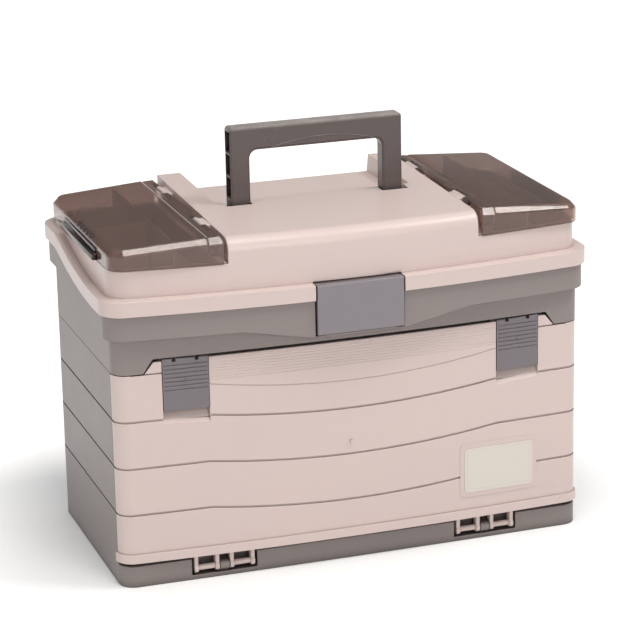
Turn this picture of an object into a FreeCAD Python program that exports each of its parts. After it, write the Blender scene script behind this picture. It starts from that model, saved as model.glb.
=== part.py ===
import FreeCAD, Part
import Sketcher
import math
import os

# Fishing tackle cabinet: a stack of three drawer frames on a base, a bulk tray above them,
# a lid with two lidded accessory bays and a folding handle, and one bowed front door
# that swings down in front of four sliding drawers.
# Frame: +X to the right of someone facing the door, -Y towards them, +Z up,
# origin on the table under the middle of the drawer frames. Millimetres.

doc = FreeCAD.newDocument("TackleCabinet")
sheet = doc.addObject("Spreadsheet::Sheet", "Sizes")
XY = "XY"
XZ = "XZ"
YZ = "YZ"
SIDES = (("left", -1), ("right", 1))
DRAWERS = 4
DOOR_RIBS = 9
SLOT_CELLS = 3

# Driving sizes, by piece
DRIVING = {
    # case outline in plan and general wall sizes
    "case_width": 520.0, "case_depth": 257.0, "corner_radius": 17.0, "wall": 2.4,
    "fit": 0.3, "running": 0.05, "overrun": 6.0,
    # stack of frames
    "lip_height": 23.5, "drawer_step": 6.0, "frame_pitch": 51.2, "base_bow": 2.0,
    "seam_depth": 0.8, "seam_height": 1.0, "rail_width": 12.0, "rail_thick": 3.0, "rail_drop": 11.5,
    # door hinges at the foot of the door
    "hinge_inset": 111.5, "hinge_back": 2.5, "hinge_up": 12.0, "bar_radius": 3.0,
    "arm_outer": 31.2, "arm_inner": 8.0, "arm_thick": 4.0, "arm_round": 5.0,
    "window_half": 36.0, "window_floor": 5.0, "window_back": 8.0, "tongue_half": 5.2, "tongue_round": 5.6,
    # front door
    "panel_bow": 8.2, "door_foot_gap": 4.0, "door_rise": 14.3, "door_wall": 3.0,
    "groove_depth": 1.3, "groove_width": 2.2, "kink_inset": 99.0, "groove_sag": 11.0,
    "flare_height": 9.5, "flare_proud": 2.4, "rib_pitch": 3.1, "rib_depth": 0.5, "rib_width": 1.0,
    "arc_drop": 17.3, "arc_sag": 14.0,
    "pad_inset": 97.0, "pad_rise": 1.0, "pad_width": 91.0, "pad_height": 60.5, "pad_proud": 0.6,
    "pad_round": 5.0, "sticker_margin": 5.0, "sticker_thick": 0.4,
    # ears at the foot of the tray, beside the door
    "ear_inset": 31.0, "ear_lean": 10.0, "door_gap": 0.7,
    # door latches
    "latch_inset": 75.0, "latch_half": 24.3, "latch_drop": 1.8, "latch_height": 55.3, "latch_thick": 2.8,
    "latch_proud": 0.8, "pocket_depth": 11.0, "scoop_drop": 18.5, "pivot_drop": 9.8, "pivot_back": 0.6,
    "pivot_radius": 2.0, "pivot_reach": 2.0, "claw_half": 4.2, "claw_eye": 3.5,
    # tray
    "tray_rise": 64.7, "tray_floor_up": 4.7, "band_grow": 6.5, "rim_bow": 17.3, "band_height": 26.5,
    "dip_gap": 3.4, "dip_side": 6.4, "dip_slope": 73.0,
    # parting line of tray and lid, seen from the side
    "parting_step": 23.5, "bend_inset": 40.5, "rise_inset": 80.5, "flat_inset": 56.5, "parting_sag": 4.2,
    "knee_drop": 5.3,
    # lid
    "rim_grow": 10.0, "rim_height": 16.5, "lid_shrink": 0.5, "lid_round": 26.0, "shoulder_rise": 22.2,
    "lid_rise": 32.3, "crown_slope": 6.5, "crown_round": 15.0, "crown_side": 26.0,
    "recess_depth": 19.5, "recess_side": 11.8, "recess_flare": 2.5, "recess_start": 12.0, "recess_ramp": 34.0,
    "bay_side": 8.0, "bay_ledge": 9.0, "bay_rise": 19.0, "tub_flange": 1.2,
    "divider_thick": 1.8, "divider_gap": 0.8, "left_split_gap": 45.5, "right_split_gap": 54.5,
    "first_cross": -32.0, "cross_pitch": 77.0,
    # handle
    "handle_half": 97.2, "opening_half": 74.8, "grip_rise": 80.0, "grip_height": 26.0, "handle_thick": 20.0,
    "handle_forward": 10.8, "opening_round": 9.0, "handle_corner": 4.0, "handle_edge": 3.5,
    "channel_depth": 9.0, "channel_wall": 2.2, "channel_rib": 2.0, "slot_side": 1.2, "slot_outside": 6.0,
    "handle_pin_radius": 2.5,
    # smoky covers
    "cover_drop": 2.5, "cover_fall": 8.0, "cover_wall": 2.0, "cover_round": 9.0, "cover_axis_side": 8.0,
    "cover_axis_drop": 4.5,
    "knuckle_radius": 3.0, "knuckle_half": 15.5, "knuckle_back_inset": 50.5, "knuckle_front_inset": 64.0,
    "cover_pin_radius": 1.3, "tab_front_inset": 52.5, "tab_back_inset": 66.0, "tab_out": 5.5,
    "tab_height": 13.0,
    # centre latch
    "centre_half": 47.6, "centre_drop": 37.5, "centre_rise": 16.0, "centre_deep": 9.5, "centre_wall": 2.8,
    "centre_gap": 1.4, "centre_swing": 4.0, "centre_pivot_drop": 6.0, "centre_pivot_radius": 2.2,
    # drawers
    "drawer_clear": 2.6, "front_clear": 7.6, "front_thick": 3.0, "drawer_back_gap": 11.5, "drawer_wall": 1.8,
    "drawer_floor_up": 4.0, "flange_thick": 2.0, "flange_reach": 7.0, "pull_half": 58.0, "pull_reach": 5.0,
    "pull_height": 11.0, "drawer_gap": 1.0, "cell_divider_height": 32.0,
    # lid hinge at the back
    "lid_axis_gap": 0.6, "lid_knuckle_radius": 4.6, "lid_hinge_inset": 95.0, "lid_knuckle_half": 13.0,
    "tray_knuckle": 12.0, "rod_radius": 2.0, "web_height": 13.0,
}


class Size:
    # A length of the sheet, or a sum worked out from them: its value now and its expression.
    def __init__(self, value, text):
        self.value = value
        self.text = text

    def __add__(self, other):
        return Size(self.value + number(other), f"({self.text} + {words(other)})")

    def __radd__(self, other):
        return self + other

    def __sub__(self, other):
        return Size(self.value - number(other), f"({self.text} - {words(other)})")

    def __rsub__(self, other):
        return Size(number(other) - self.value, f"({words(other)} - {self.text})")

    def __mul__(self, other):
        return Size(self.value * number(other), f"({self.text} * {words(other)})")

    def __rmul__(self, other):
        return self * other

    def __truediv__(self, other):
        return Size(self.value / number(other), f"({self.text} / {words(other)})")

    def __neg__(self):
        return Size(-self.value, f"(0 - {self.text})")


def number(size):
    return size.value if isinstance(size, Size) else float(size)


def words(size):
    return size.text if isinstance(size, Size) else repr(size)


class Sizes:
    pass


s = Sizes()
for row, (alias, length) in enumerate(DRIVING.items(), start=1):
    sheet.set(f"A{row}", alias)
    sheet.set(f"B{row}", str(length))
    sheet.setAlias(f"B{row}", alias)
    setattr(s, alias, Size(length, f"Sizes.{alias}"))
doc.recompute()

# Places and sizes worked out from these, from the table up
flush = s.wall - s.wall
half_width = s.case_width / 2
half_depth = s.case_depth / 2
front_line = half_depth - s.corner_radius
drawer_level = s.lip_height + s.drawer_step
base_height = drawer_level + s.frame_pitch
tray_level = drawer_level + DRAWERS * s.frame_pitch
far = s.case_depth
above = s.overrun
hinge_across = half_width - s.hinge_inset
hinge_forward = half_depth - s.hinge_back
door_bottom = s.lip_height + s.door_foot_gap
door_top = tray_level + s.door_rise
kink_across = half_width - s.kink_inset
pad_across = half_width - s.pad_inset
pad_up = base_height + s.pad_rise
ear_low = half_width - s.ear_inset
ear_high = ear_low - s.ear_lean
latch_across = half_width - s.latch_inset
latch_top = door_top - s.latch_drop
latch_low = latch_top - s.latch_height
scoop_low = latch_low - s.scoop_drop
pivot_up = latch_top - s.pivot_drop
pivot_forward = half_depth - s.pivot_back
dip_low = door_top + s.dip_gap
dip_half = s.centre_half + s.dip_side
parting_front = tray_level + s.tray_rise
parting_back = parting_front + s.parting_step
lid_shoulder = parting_back + s.shoulder_rise
lid_top = lid_shoulder + s.lid_rise
crown_front = lid_top - s.crown_slope
recess_floor = lid_top - s.recess_depth
recess_half_low = s.handle_half + s.recess_side
recess_half_high = recess_half_low + s.recess_flare
block_half = recess_half_high + s.crown_side
bay_inner = block_half + s.bay_side
bay_floor = parting_front + s.bay_rise
left_split = bay_inner + s.left_split_gap
right_split = bay_inner + s.right_split_gap
grip_top = lid_top + s.grip_rise
cover_top = lid_top - s.cover_drop
cover_axis = block_half + s.cover_axis_side
cover_axis_up = cover_top - s.cover_axis_drop
knuckle_back = half_depth - s.knuckle_back_inset
knuckle_front = half_depth - s.knuckle_front_inset
centre_low = parting_front - s.centre_drop
centre_top = parting_front + s.centre_rise
centre_pivot_up = centre_top - s.centre_pivot_drop
lid_hinge_across = half_width - s.lid_hinge_inset
tray_floor = tray_level + s.tray_floor_up
drawer_half = half_width - s.wall - s.rail_width - s.drawer_clear
front_half = half_width - s.wall - s.front_clear
drawer_back = half_depth - s.drawer_back_gap


# Placing and binding

def bind(thing, **texts):
    for name, size in texts.items():
        if isinstance(size, Size):
            thing.setExpression(name, size.text)
        else:
            setattr(thing, name, size)
    return thing


def place(thing, x=0, y=0, z=0):
    for axis, size in (("x", x), ("y", y), ("z", z)):
        if isinstance(size, Size):
            thing.setExpression(f"Placement.Base.{axis}", size.text)
    return thing


def box(name, x, y, z):
    # A block between two lengths along each axis.
    thing = doc.addObject("Part::Box", name)
    bind(thing, Length=x[1] - x[0], Width=y[1] - y[0], Height=z[1] - z[0])
    return place(thing, x[0], y[0], z[0])


def rod(name, axis, centre, radius, span):
    # A cylinder along X or Y, through centre (the two other coordinates), between the span's ends.
    thing = doc.addObject("Part::Cylinder", name)
    bind(thing, Radius=radius, Height=span[1] - span[0])
    if axis == "x":
        thing.Placement.Rotation = FreeCAD.Rotation(FreeCAD.Vector(0, 1, 0), 90)
        return place(thing, span[0], centre[0], centre[1])
    thing.Placement.Rotation = FreeCAD.Rotation(FreeCAD.Vector(1, 0, 0), -90)
    return place(thing, centre[0], span[0], centre[1])


# Sketches: closed outlines whose corners are bound to the sheet

TURNS = {
    XY: FreeCAD.Rotation(),
    XZ: FreeCAD.Rotation(FreeCAD.Vector(1, 0, 0), 90),
    YZ: FreeCAD.Rotation(FreeCAD.Vector(1, 1, 1), 120),
}


def arc_between(start, end, radius, turn):
    # The minor arc from start to end: turn 1 runs anticlockwise, -1 clockwise.
    dx, dy = end[0] - start[0], end[1] - start[1]
    chord = math.hypot(dx, dy)
    rise = math.sqrt(max(radius * radius - chord * chord / 4, 0))
    centre = ((start[0] + end[0]) / 2 - turn * dy / chord * rise,
              (start[1] + end[1]) / 2 + turn * dx / chord * rise)
    first, last = (start, end) if turn > 0 else (end, start)
    angles = [math.atan2(p[1] - centre[1], p[0] - centre[0]) for p in (first, last)]
    if angles[1] < angles[0]:
        angles[1] += 2 * math.pi
    circle = Part.Circle(FreeCAD.Vector(centre[0], centre[1], 0), FreeCAD.Vector(0, 0, 1), radius)
    return Part.ArcOfCircle(circle, angles[0], angles[1])


def draw(sketch, points, arcs):
    # points are (x, y) sizes in order; arcs maps the index of a side to its radius and turn.
    count = len(points)
    first = sketch.GeometryCount
    places = [(number(x), number(y)) for x, y in points]
    for i in range(count):
        start, end = places[i], places[(i + 1) % count]
        if i in arcs:
            sketch.addGeometry(arc_between(start, end, number(arcs[i][0]), arcs[i][1]), False)
        else:
            ends = [FreeCAD.Vector(p[0], p[1], 0) for p in (start, end)]
            sketch.addGeometry(Part.LineSegment(*ends), False)
    for i in range(count):
        after = (i + 1) % count
        begins = 2 if i in arcs and arcs[i][1] < 0 else 1
        ends = 1 if begins == 2 else 2
        next_begins = 2 if after in arcs and arcs[after][1] < 0 else 1
        sketch.addConstraint(Sketcher.Constraint("Coincident", first + i, ends, first + after, next_begins))
        for kind, size, value in (("DistanceX", points[i][0], places[i][0]),
                                  ("DistanceY", points[i][1], places[i][1])):
            if not isinstance(size, Size):
                line = -2 if kind == "DistanceX" else -1
                sketch.addConstraint(Sketcher.Constraint("PointOnObject", first + i, begins, line))
                continue
            index = sketch.addConstraint(Sketcher.Constraint(kind, -1, 1, first + i, begins, value))
            name = f"{kind[-1].lower()}{first + i}"
            sketch.renameConstraint(index, name)
            sketch.setExpression(f"Constraints.{name}", size.text)
        if i in arcs:
            index = sketch.addConstraint(Sketcher.Constraint("Radius", first + i, number(arcs[i][0])))
            sketch.renameConstraint(index, f"radius{first + i}")
            sketch.setExpression(f"Constraints.radius{first + i}", arcs[i][0].text)


def prism(name, plane, points, arcs, span):
    # A closed outline in a plane, drawn out between the span's ends along the plane's normal.
    sketch = doc.addObject("Sketcher::SketchObject", f"{name}_outline")
    sketch.Placement.Rotation = TURNS[plane]
    draw(sketch, points, arcs)
    axis = {XY: "z", XZ: "y", YZ: "x"}[plane]
    place(sketch, **{axis: span[0]})
    thing = doc.addObject("Part::Extrusion", name)
    thing.Base = sketch
    thing.DirMode = "Custom"
    thing.Dir = FreeCAD.Vector(*[float(axis == letter) for letter in "xyz"])
    thing.Solid = True
    return bind(thing, LengthFwd=span[1] - span[0])


def bow_radius(half_chord, bow):
    return (half_chord * half_chord + bow * bow) / (2 * bow)


def plan(name, half, front, back, radius, bow, span):
    # Rounded plan outline with its front side bowed out.
    inner = half - radius
    points = [(inner, back), (-inner, back), (-half, back - radius), (-half, radius - front),
              (-inner, -front), (inner, -front), (half, radius - front), (half, back - radius)]
    arcs = {1: (radius, 1), 3: (radius, 1), 4: (bow_radius(inner, bow), 1), 5: (radius, 1), 7: (radius, 1)}
    return prism(name, XY, points, arcs, span)


def module(name, grow, bow, span):
    # The case's own plan outline, grown or shrunk all round.
    return plan(name, half_width + grow, half_depth + grow, half_depth + grow,
                s.corner_radius + grow, bow, span)


def rounded(name, plane, low, high, radius, span):
    # A rounded rectangle drawn out along the plane's normal.
    (x0, y0), (x1, y1) = low, high
    points = [(x0 + radius, y0), (x1 - radius, y0), (x1, y0 + radius), (x1, y1 - radius),
              (x1 - radius, y1), (x0 + radius, y1), (x0, y1 - radius), (x0, y0 + radius)]
    arcs = {1: (radius, 1), 3: (radius, 1), 5: (radius, 1), 7: (radius, 1)}
    return prism(name, plane, points, arcs, span)


# Booleans

def fuse(name, *parts):
    thing = doc.addObject("Part::MultiFuse", name)
    thing.Shapes = list(parts)
    thing.Refine = True
    return thing


def cut(name, base, *tools):
    thing = doc.addObject("Part::Cut", name)
    thing.Base = base
    thing.Tool = tools[0] if len(tools) == 1 else fuse(f"{name}_tools", *tools)
    thing.Refine = True
    return thing


def common(name, first, second):
    thing = doc.addObject("Part::Common", name)
    thing.Base = first
    thing.Tool = second
    return thing


def mirrored(name, source):
    thing = doc.addObject("Part::Mirroring", name)
    thing.Source = source
    thing.Normal = FreeCAD.Vector(1, 0, 0)
    return thing


def filleted(name, base, radius, chosen):
    # Rounds the edges whose box chosen() accepts; the radius is read from the sheet's value.
    doc.recompute()
    thing = doc.addObject("Part::Fillet", name)
    thing.Base = base
    edges = []
    for index, edge in enumerate(base.Shape.Edges, start=1):
        if chosen(edge.BoundBox, edge):
            edges.append((index, radius.value, radius.value))
    if not edges:
        raise SystemExit(f"{name}: no edge to round")
    thing.Edges = edges
    return thing


NODES = []


def node(thing, label):
    # Marks a finished sub-part; its label is its file's name.
    thing.Label = label
    NODES.append(thing)
    return thing


# Drawer frames and their base

def rails(name, level):
    # Two ledges that a drawer's side flanges slide on.
    top = level + s.frame_pitch - s.rail_drop
    pieces = []
    for side, sign in SIDES:
        inner = half_width - s.wall - s.rail_width
        outer = half_width - s.wall / 2
        x = (inner, outer) if sign > 0 else (-outer, -inner)
        pieces.append(box(f"{name}_rail_{side}", x, (s.front_thick + s.fit - front_line, front_line),
                          (top - s.rail_thick, top)))
    return pieces


def front_of(name, low, high):
    # Everything in front of the frames' front edges.
    return box(name, (-half_width - above, half_width + above), (-far, -front_line), (low, high))


def drawer_frame(label, level):
    outer = module(f"{label}_outer", flush, s.panel_bow, (level, level + s.frame_pitch))
    inner = module(f"{label}_inner", -s.wall, s.panel_bow, (level - above, level + s.frame_pitch + above))
    front = front_of(f"{label}_front", level - above, level + s.frame_pitch + above)
    skin = module(f"{label}_skin", above, s.panel_bow, (level - above, level + s.seam_height))
    core = module(f"{label}_core", -s.seam_depth, s.panel_bow, (level - 2 * above, level + 2 * above))
    seam = cut(f"{label}_seam", skin, core)
    ring = cut(f"{label}_ring", outer, inner, front, seam)
    node(fuse(label, ring, *rails(label, level)), label)


def hinge_blocks(name, half, low, high, back):
    return [box(f"{name}_{side}", (sign * hinge_across - half, sign * hinge_across + half),
                (-hinge_forward - above, -hinge_forward + back), (low, high)) for side, sign in SIDES]


def base_frame():
    outer = module("base_outer", flush, s.base_bow, (flush, base_height))
    hollow_low = module("base_hollow_low", -s.wall, s.base_bow, (s.wall, s.lip_height - s.wall))
    hollow_high = cut("base_hollow_high",
                      module("base_hollow_plan", -s.wall, s.base_bow, (s.wall, base_height + above)),
                      front_of("base_lip_back", -above, base_height + 2 * above))
    front = front_of("base_front", s.lip_height, base_height + above)
    shell = cut("base_shell", outer, hollow_low, hollow_high, front)
    bays = hinge_blocks("base_bay", s.window_half + s.wall, s.window_floor - s.wall, s.lip_height,
                        s.window_back + s.wall)
    skin = module("base_skin", flush, s.base_bow, (flush, s.lip_height))
    housings = common("base_housings", fuse("base_bays", *bays), skin)
    windows = hinge_blocks("base_window", s.window_half, s.window_floor, s.lip_height + above, s.window_back)
    opened = cut("base_opened", fuse("base_filled", shell, housings), *windows)
    tongues = []
    slots = []
    for side, sign in SIDES:
        x = (sign * hinge_across - s.tongue_half, sign * hinge_across + s.tongue_half)
        wide = (x[0] - above, x[1] + above)
        tongues.append(box(f"base_tongue_{side}", x,
                           (-hinge_forward, -hinge_forward + s.window_back + s.wall / 2),
                           (s.window_floor - s.wall / 2, s.hinge_up + s.tongue_round)))
        tongues.append(rod(f"base_eye_{side}", "x", (-hinge_forward, s.hinge_up), s.tongue_round, x))
        slots.append(rod(f"base_bore_{side}", "x", (-hinge_forward, s.hinge_up),
                         s.bar_radius + s.running, wide))
    eyes = cut("base_eyes", fuse("base_eye_blocks", *tongues), *slots)
    node(fuse("base_frame", opened, eyes, *rails("base_frame", drawer_level)), "base_frame")


# Parting line of tray and lid

def side_region(name, drop, high):
    # What lies above the parting line (moved by drop) and below a flat top, or the reverse, as seen
    # from the side: flat in front, an arc up the side, flat at the back.
    front, back = parting_front + drop, parting_back + drop
    bend = s.bend_inset - half_depth
    top = half_depth - s.rise_inset
    chord_half_sq = ((top - bend) * (top - bend) + (back - front) * (back - front)) / 4
    radius = (chord_half_sq + s.parting_sag * s.parting_sag) / (2 * s.parting_sag)
    knee = back - s.knee_drop
    points = [(-far, front), (bend, front), (top, knee), (half_depth - s.flat_inset, back), (far, back)]
    points += [(far, high), (-far, high)]
    return prism(name, YZ, points, {1: (radius, 1)}, (-half_width - 5 * above, half_width + 5 * above))


def rim_plan(name, grow, span):
    return module(name, grow, s.rim_bow, span)


# Bulk tray

def hinge_web(name, x, back_to, low, high):
    return box(name, x, (half_depth + s.band_grow - s.wall / 2, back_to), (low, high))


lid_axis_back = half_depth + s.rim_grow + s.lid_knuckle_radius + s.lid_axis_gap
lid_axis_up = parting_back


def tray_knuckles():
    blocks = []
    bores = []
    for side, sign in SIDES:
        for end in (-1, 1):
            near = sign * lid_hinge_across + end * (s.lid_knuckle_half + s.fit)
            away = near + end * s.tray_knuckle
            x = (near, away) if end > 0 else (away, near)
            tag = f"tray_knuckle_{side}_{'out' if end > 0 else 'in'}"
            blocks.append(rod(tag, "x", (lid_axis_back, lid_axis_up), s.lid_knuckle_radius, x))
            blocks.append(hinge_web(f"{tag}_web", x, lid_axis_back, lid_axis_up - s.web_height,
                                    lid_axis_up - s.fit * 2))
        bores.append(rod(f"tray_bore_{side}", "x", (lid_axis_back, lid_axis_up), s.rod_radius + s.running,
                         (sign * lid_hinge_across - far / 2, sign * lid_hinge_across + far / 2)))
    return cut("tray_knuckles", fuse("tray_knuckle_blocks", *blocks), *bores)


def ear_notch(name, low, high_z, extra, back):
    # The space for the door's top edge between the tray's two ears.
    points = [(-ear_low - extra, low), (ear_low + extra, low), (ear_low + extra, tray_level),
              (ear_high + extra, high_z), (-ear_high - extra, high_z), (-ear_low - extra, tray_level)]
    return prism(name, XZ, points, {}, (-far, back))


def latch_recess(name, half, low, back):
    return box(name, (-half, half), (-far, -back), (low, parting_back + far))


recess_back = half_depth + s.rim_grow + s.rim_bow - s.centre_deep - s.centre_swing


def top_tray():
    notch_top = door_top + s.door_gap
    lower = module("tray_lower", flush, s.panel_bow, (tray_level, parting_front - s.fit))
    band_plan = rim_plan("tray_band_plan", s.band_grow, (dip_low - above, parting_back + above))
    over = side_region("tray_over_step", -s.band_height, parting_back + far)
    band = common("tray_band", band_plan, over)
    dip_points = [(-dip_half - s.dip_slope, parting_front - s.band_height + s.fit), (-dip_half, dip_low),
                  (dip_half, dip_low), (dip_half + s.dip_slope, parting_front - s.band_height + s.fit)]
    dip = common("tray_dip", rim_plan("tray_dip_plan", s.band_grow, (dip_low - above, parting_front)),
                 prism("tray_dip_shape", XZ, dip_points, {}, (-far, -front_line)))
    rim_line = side_region("tray_above_rim", -s.fit, parting_back + far)
    body = cut("tray_body", fuse("tray_mass", lower, band, dip), rim_line,
               ear_notch("tray_notch", tray_level - above, notch_top, flush, -front_line))
    low_hollow = cut("tray_low_hollow",
                     module("tray_low_plan", -s.wall, s.panel_bow, (tray_floor, parting_back + above)),
                     front_of("tray_low_front", tray_level - above, notch_top + s.wall))
    back_step = box("tray_step_back", (-half_width, half_width), (-front_line, -front_line + s.wall),
                    (tray_level, notch_top + s.wall))
    high_hollow = common("tray_high_hollow",
                         rim_plan("tray_high_plan", s.band_grow - s.wall, (dip_low, parting_back + above)),
                         side_region("tray_high_side", s.wall - s.band_height, parting_back + far))
    hollow = cut("tray_hollow", fuse("tray_hollows", low_hollow, high_hollow), back_step)
    shell = cut("tray_shell", body, hollow)
    pocket_half = s.centre_half + s.centre_gap
    housing = box("tray_latch_housing", (-pocket_half - s.wall, pocket_half + s.wall),
                  (-half_depth - s.rim_bow - s.band_grow + s.wall / 2, -recess_back + s.wall),
                  (dip_low, parting_front - s.fit))
    filled = fuse("tray_filled", shell, housing)
    recess = latch_recess("tray_latch_recess", pocket_half, centre_low - s.centre_gap, recess_back)
    catch = box("tray_catch", (-s.centre_half / 3, s.centre_half / 3),
                (-recess_back - s.centre_wall, -recess_back + s.wall / 2),
                (centre_low + 3 * s.wall, centre_low + 4 * s.wall))
    opened = cut("tray_opened", filled, recess)
    node(fuse("top_tray", opened, catch, tray_knuckles()), "top_tray")


def hinge_rods():
    for side, sign in SIDES:
        reach = s.lid_knuckle_half + s.fit + s.tray_knuckle
        span = (sign * lid_hinge_across - reach, sign * lid_hinge_across + reach)
        node(rod(f"lid_hinge_rod_{side}", "x", (lid_axis_back, lid_axis_up), s.rod_radius, span),
             f"lid_hinge_rod_{side}")


# Lid

lid_half = half_width - s.lid_shrink - s.running
lid_front = half_depth - s.lid_shrink / 2
block_front_mid = lid_front + s.rim_bow


def lid_plan(name, inset, span):
    return plan(name, lid_half - inset, lid_front - inset, lid_front - inset, s.lid_round - inset,
                s.rim_bow, span)


def crown(name, inset, low):
    # Middle of the lid with its rounded front and back top edges.
    block = common(f"{name}_block", lid_plan(f"{name}_plan", inset, (low, lid_top + above)),
                   box(f"{name}_slab", (-block_half + inset, block_half - inset), (-far, far),
                       (low, lid_top + above)))
    roof = prism(f"{name}_roof", YZ,
                 [(-far, crown_front - inset), (-block_front_mid, crown_front - inset),
                  (lid_front, lid_top - inset), (far, lid_top - inset),
                  (far, lid_top + 2 * above), (-far, lid_top + 2 * above)], {},
                 (-half_width, half_width))
    trimmed = cut(f"{name}_trimmed", block, roof)
    level = (crown_front - inset).value
    front = -(lid_front - inset).value + s.fit.value

    def front_edge(edge_box, edge):
        return edge_box.YMax < front and edge_box.ZMin > level - s.fit.value
    return filleted(f"{name}_rounded", trimmed, s.crown_round - inset, front_edge)


def recess(name, grow):
    # The trough behind the handle, open to the back.
    points = [(-recess_half_low - grow, recess_floor - grow), (recess_half_low + grow, recess_floor - grow),
              (recess_half_high + grow, lid_top + above), (-recess_half_high - grow, lid_top + above)]
    trough = prism(f"{name}_trough", XZ, points, {}, (-s.recess_start - above, far))
    side = prism(f"{name}_side", YZ,
                 [(-s.recess_start - grow, lid_top - grow), (s.recess_ramp - grow, recess_floor - grow),
                  (far, recess_floor - grow), (far, lid_top + above),
                  (-s.recess_start - grow, lid_top + above)],
                 {}, (-half_width, half_width))
    return common(name, trough, side)


leg_axis = -s.handle_forward
handle_axis_up = recess_floor + s.fit * 2 + s.handle_thick / 2


def leg_slots(name, grow):
    slots = []
    for side, sign in SIDES:
        inner = s.opening_half - s.slot_side - grow
        outer = s.handle_half + s.slot_outside + grow
        x = (inner, outer) if sign > 0 else (-outer, -inner)
        slots.append(box(f"{name}_{side}", x,
                         (leg_axis - s.handle_thick / 2 - s.slot_side - grow, s.recess_ramp + grow),
                         (handle_axis_up - s.handle_thick / 2 - s.slot_side - grow, lid_top + above - grow)))
    return fuse(name, *slots)


def bay(name, side, sign, grow, inset, z):
    # The plan of an accessory bay: inset from the lid's walls, grown towards the lid's middle.
    inner = bay_inner - grow
    x = (inner, half_width) if sign > 0 else (-half_width, -inner)
    return common(f"{name}_{side}", lid_plan(f"{name}_{side}_plan", inset, z),
                  box(f"{name}_{side}_slab", x, (-far, far), z))


def bay_tub(side, sign):
    # A tub that hangs by its flange on the lid's shoulder.
    outer = bay("tub_outer", side, sign, s.wall, s.bay_ledge - s.wall, (bay_floor - s.wall, lid_shoulder))
    flange_grow = s.bay_side - 2 * s.fit
    flange = bay("tub_flange", side, sign, flange_grow, s.cover_wall + 2 * s.fit,
                 (lid_shoulder, lid_shoulder + s.tub_flange))
    hollow = bay("tub_hollow", side, sign, flush, s.bay_ledge, (bay_floor, lid_top))
    label = f"{side}_bay_tub"
    node(cut(label, fuse(f"{label}_solid", outer, flange), hollow), label)


def above_cover(name, sign, drop):
    # All that lies above the cover's sloping top, or a drop below it.
    inner, outer = block_half + 2 * s.fit, half_width + above
    high, outer_high, top = cover_top - drop, cover_top - s.cover_fall - drop, cover_top + 2 * above
    return prism(name, XZ,
                 [(sign * (inner - above), high), (sign * inner, high), (sign * lid_half, outer_high),
                  (sign * outer, outer_high), (sign * outer, top), (sign * (inner - above), top)], {},
                 (-far, far))


def bay_plate(name, side, sign, x, y):
    # A divider that stands on a tub's floor and ends a hair short of its walls and the cover.
    z = (bay_floor, cover_top)
    plate = common(f"{name}_whole", box(f"{name}_slab", x, y, z),
                   bay(f"{name}_room", side, sign, -s.fit, s.bay_ledge + s.fit, z))
    return cut(name, plate, above_cover(f"{name}_roof", sign, s.cover_wall + s.divider_gap))


def bay_dividers():
    half = s.divider_thick / 2
    left = [bay_plate("left_long_plate", "left", -1, (-left_split - half, -left_split + half), (-far, far))]
    for i in range(2):
        y = s.first_cross + i * s.cross_pitch
        left.append(bay_plate(f"left_cross_plate_{i + 1}", "left", -1,
                              (-half_width, -left_split - half - s.fit), (y - half, y + half)))
    group = doc.addObject("Part::Compound", "left_bay_dividers")
    group.Links = left
    node(group, "left_bay_dividers")
    right = bay_plate("right_long_plate", "right", 1, (right_split - half, right_split + half), (-far, far))
    node(right, "right_bay_divider")


def lid_knuckles():
    blocks = []
    bores = []
    for side, sign in SIDES:
        x = (sign * lid_hinge_across - s.lid_knuckle_half, sign * lid_hinge_across + s.lid_knuckle_half)
        blocks.append(rod(f"lid_knuckle_{side}", "x", (lid_axis_back, lid_axis_up), s.lid_knuckle_radius, x))
        blocks.append(box(f"lid_web_{side}", x, (half_depth + s.rim_grow - s.wall / 2, lid_axis_back),
                          (lid_axis_up, lid_axis_up + s.web_height)))
        bores.append(rod(f"lid_bore_{side}", "x", (lid_axis_back, lid_axis_up), s.rod_radius + s.running,
                         (x[0] - above, x[1] + above)))
    return cut("lid_knuckles", fuse("lid_knuckle_blocks", *blocks), *bores)


def cover_knuckle_places():
    return (("back", knuckle_back), ("front", -knuckle_front))


def cover_lugs(side, sign):
    # The lid's own hinge eyes, between the cover's.
    lugs = []
    for place_name, y in cover_knuckle_places():
        span = (y - s.knuckle_half, y + s.knuckle_half)
        centre = (sign * cover_axis, cover_axis_up)
        inner, outer = block_half - s.wall / 2, cover_axis
        x = (inner, outer) if sign > 0 else (-outer, -inner)
        lugs.append(rod(f"lug_{side}_{place_name}", "y", centre, s.knuckle_radius, span))
        lugs.append(box(f"lug_root_{side}_{place_name}", x, span,
                        (cover_axis_up - s.knuckle_radius, cover_axis_up + s.knuckle_radius / 2)))
    return lugs


def centre_cheeks():
    # Blocks beside the latch's place that carry its stubs.
    inner = s.centre_half + s.centre_gap
    outer = inner + 2 * s.wall
    y = (-half_depth - s.rim_bow - s.rim_grow + s.wall / 2, -lid_front + s.wall)
    z = (parting_front + s.wall / 2, parting_front + s.rim_height - s.wall / 2)
    cheeks = [box(f"cheek_{side}", (inner, outer) if sign > 0 else (-outer, -inner), y, z)
              for side, sign in SIDES]
    wall = box("cheek_wall", (-outer, outer), (-recess_back, -lid_front + s.wall), z)
    return cheeks + [wall]


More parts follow.
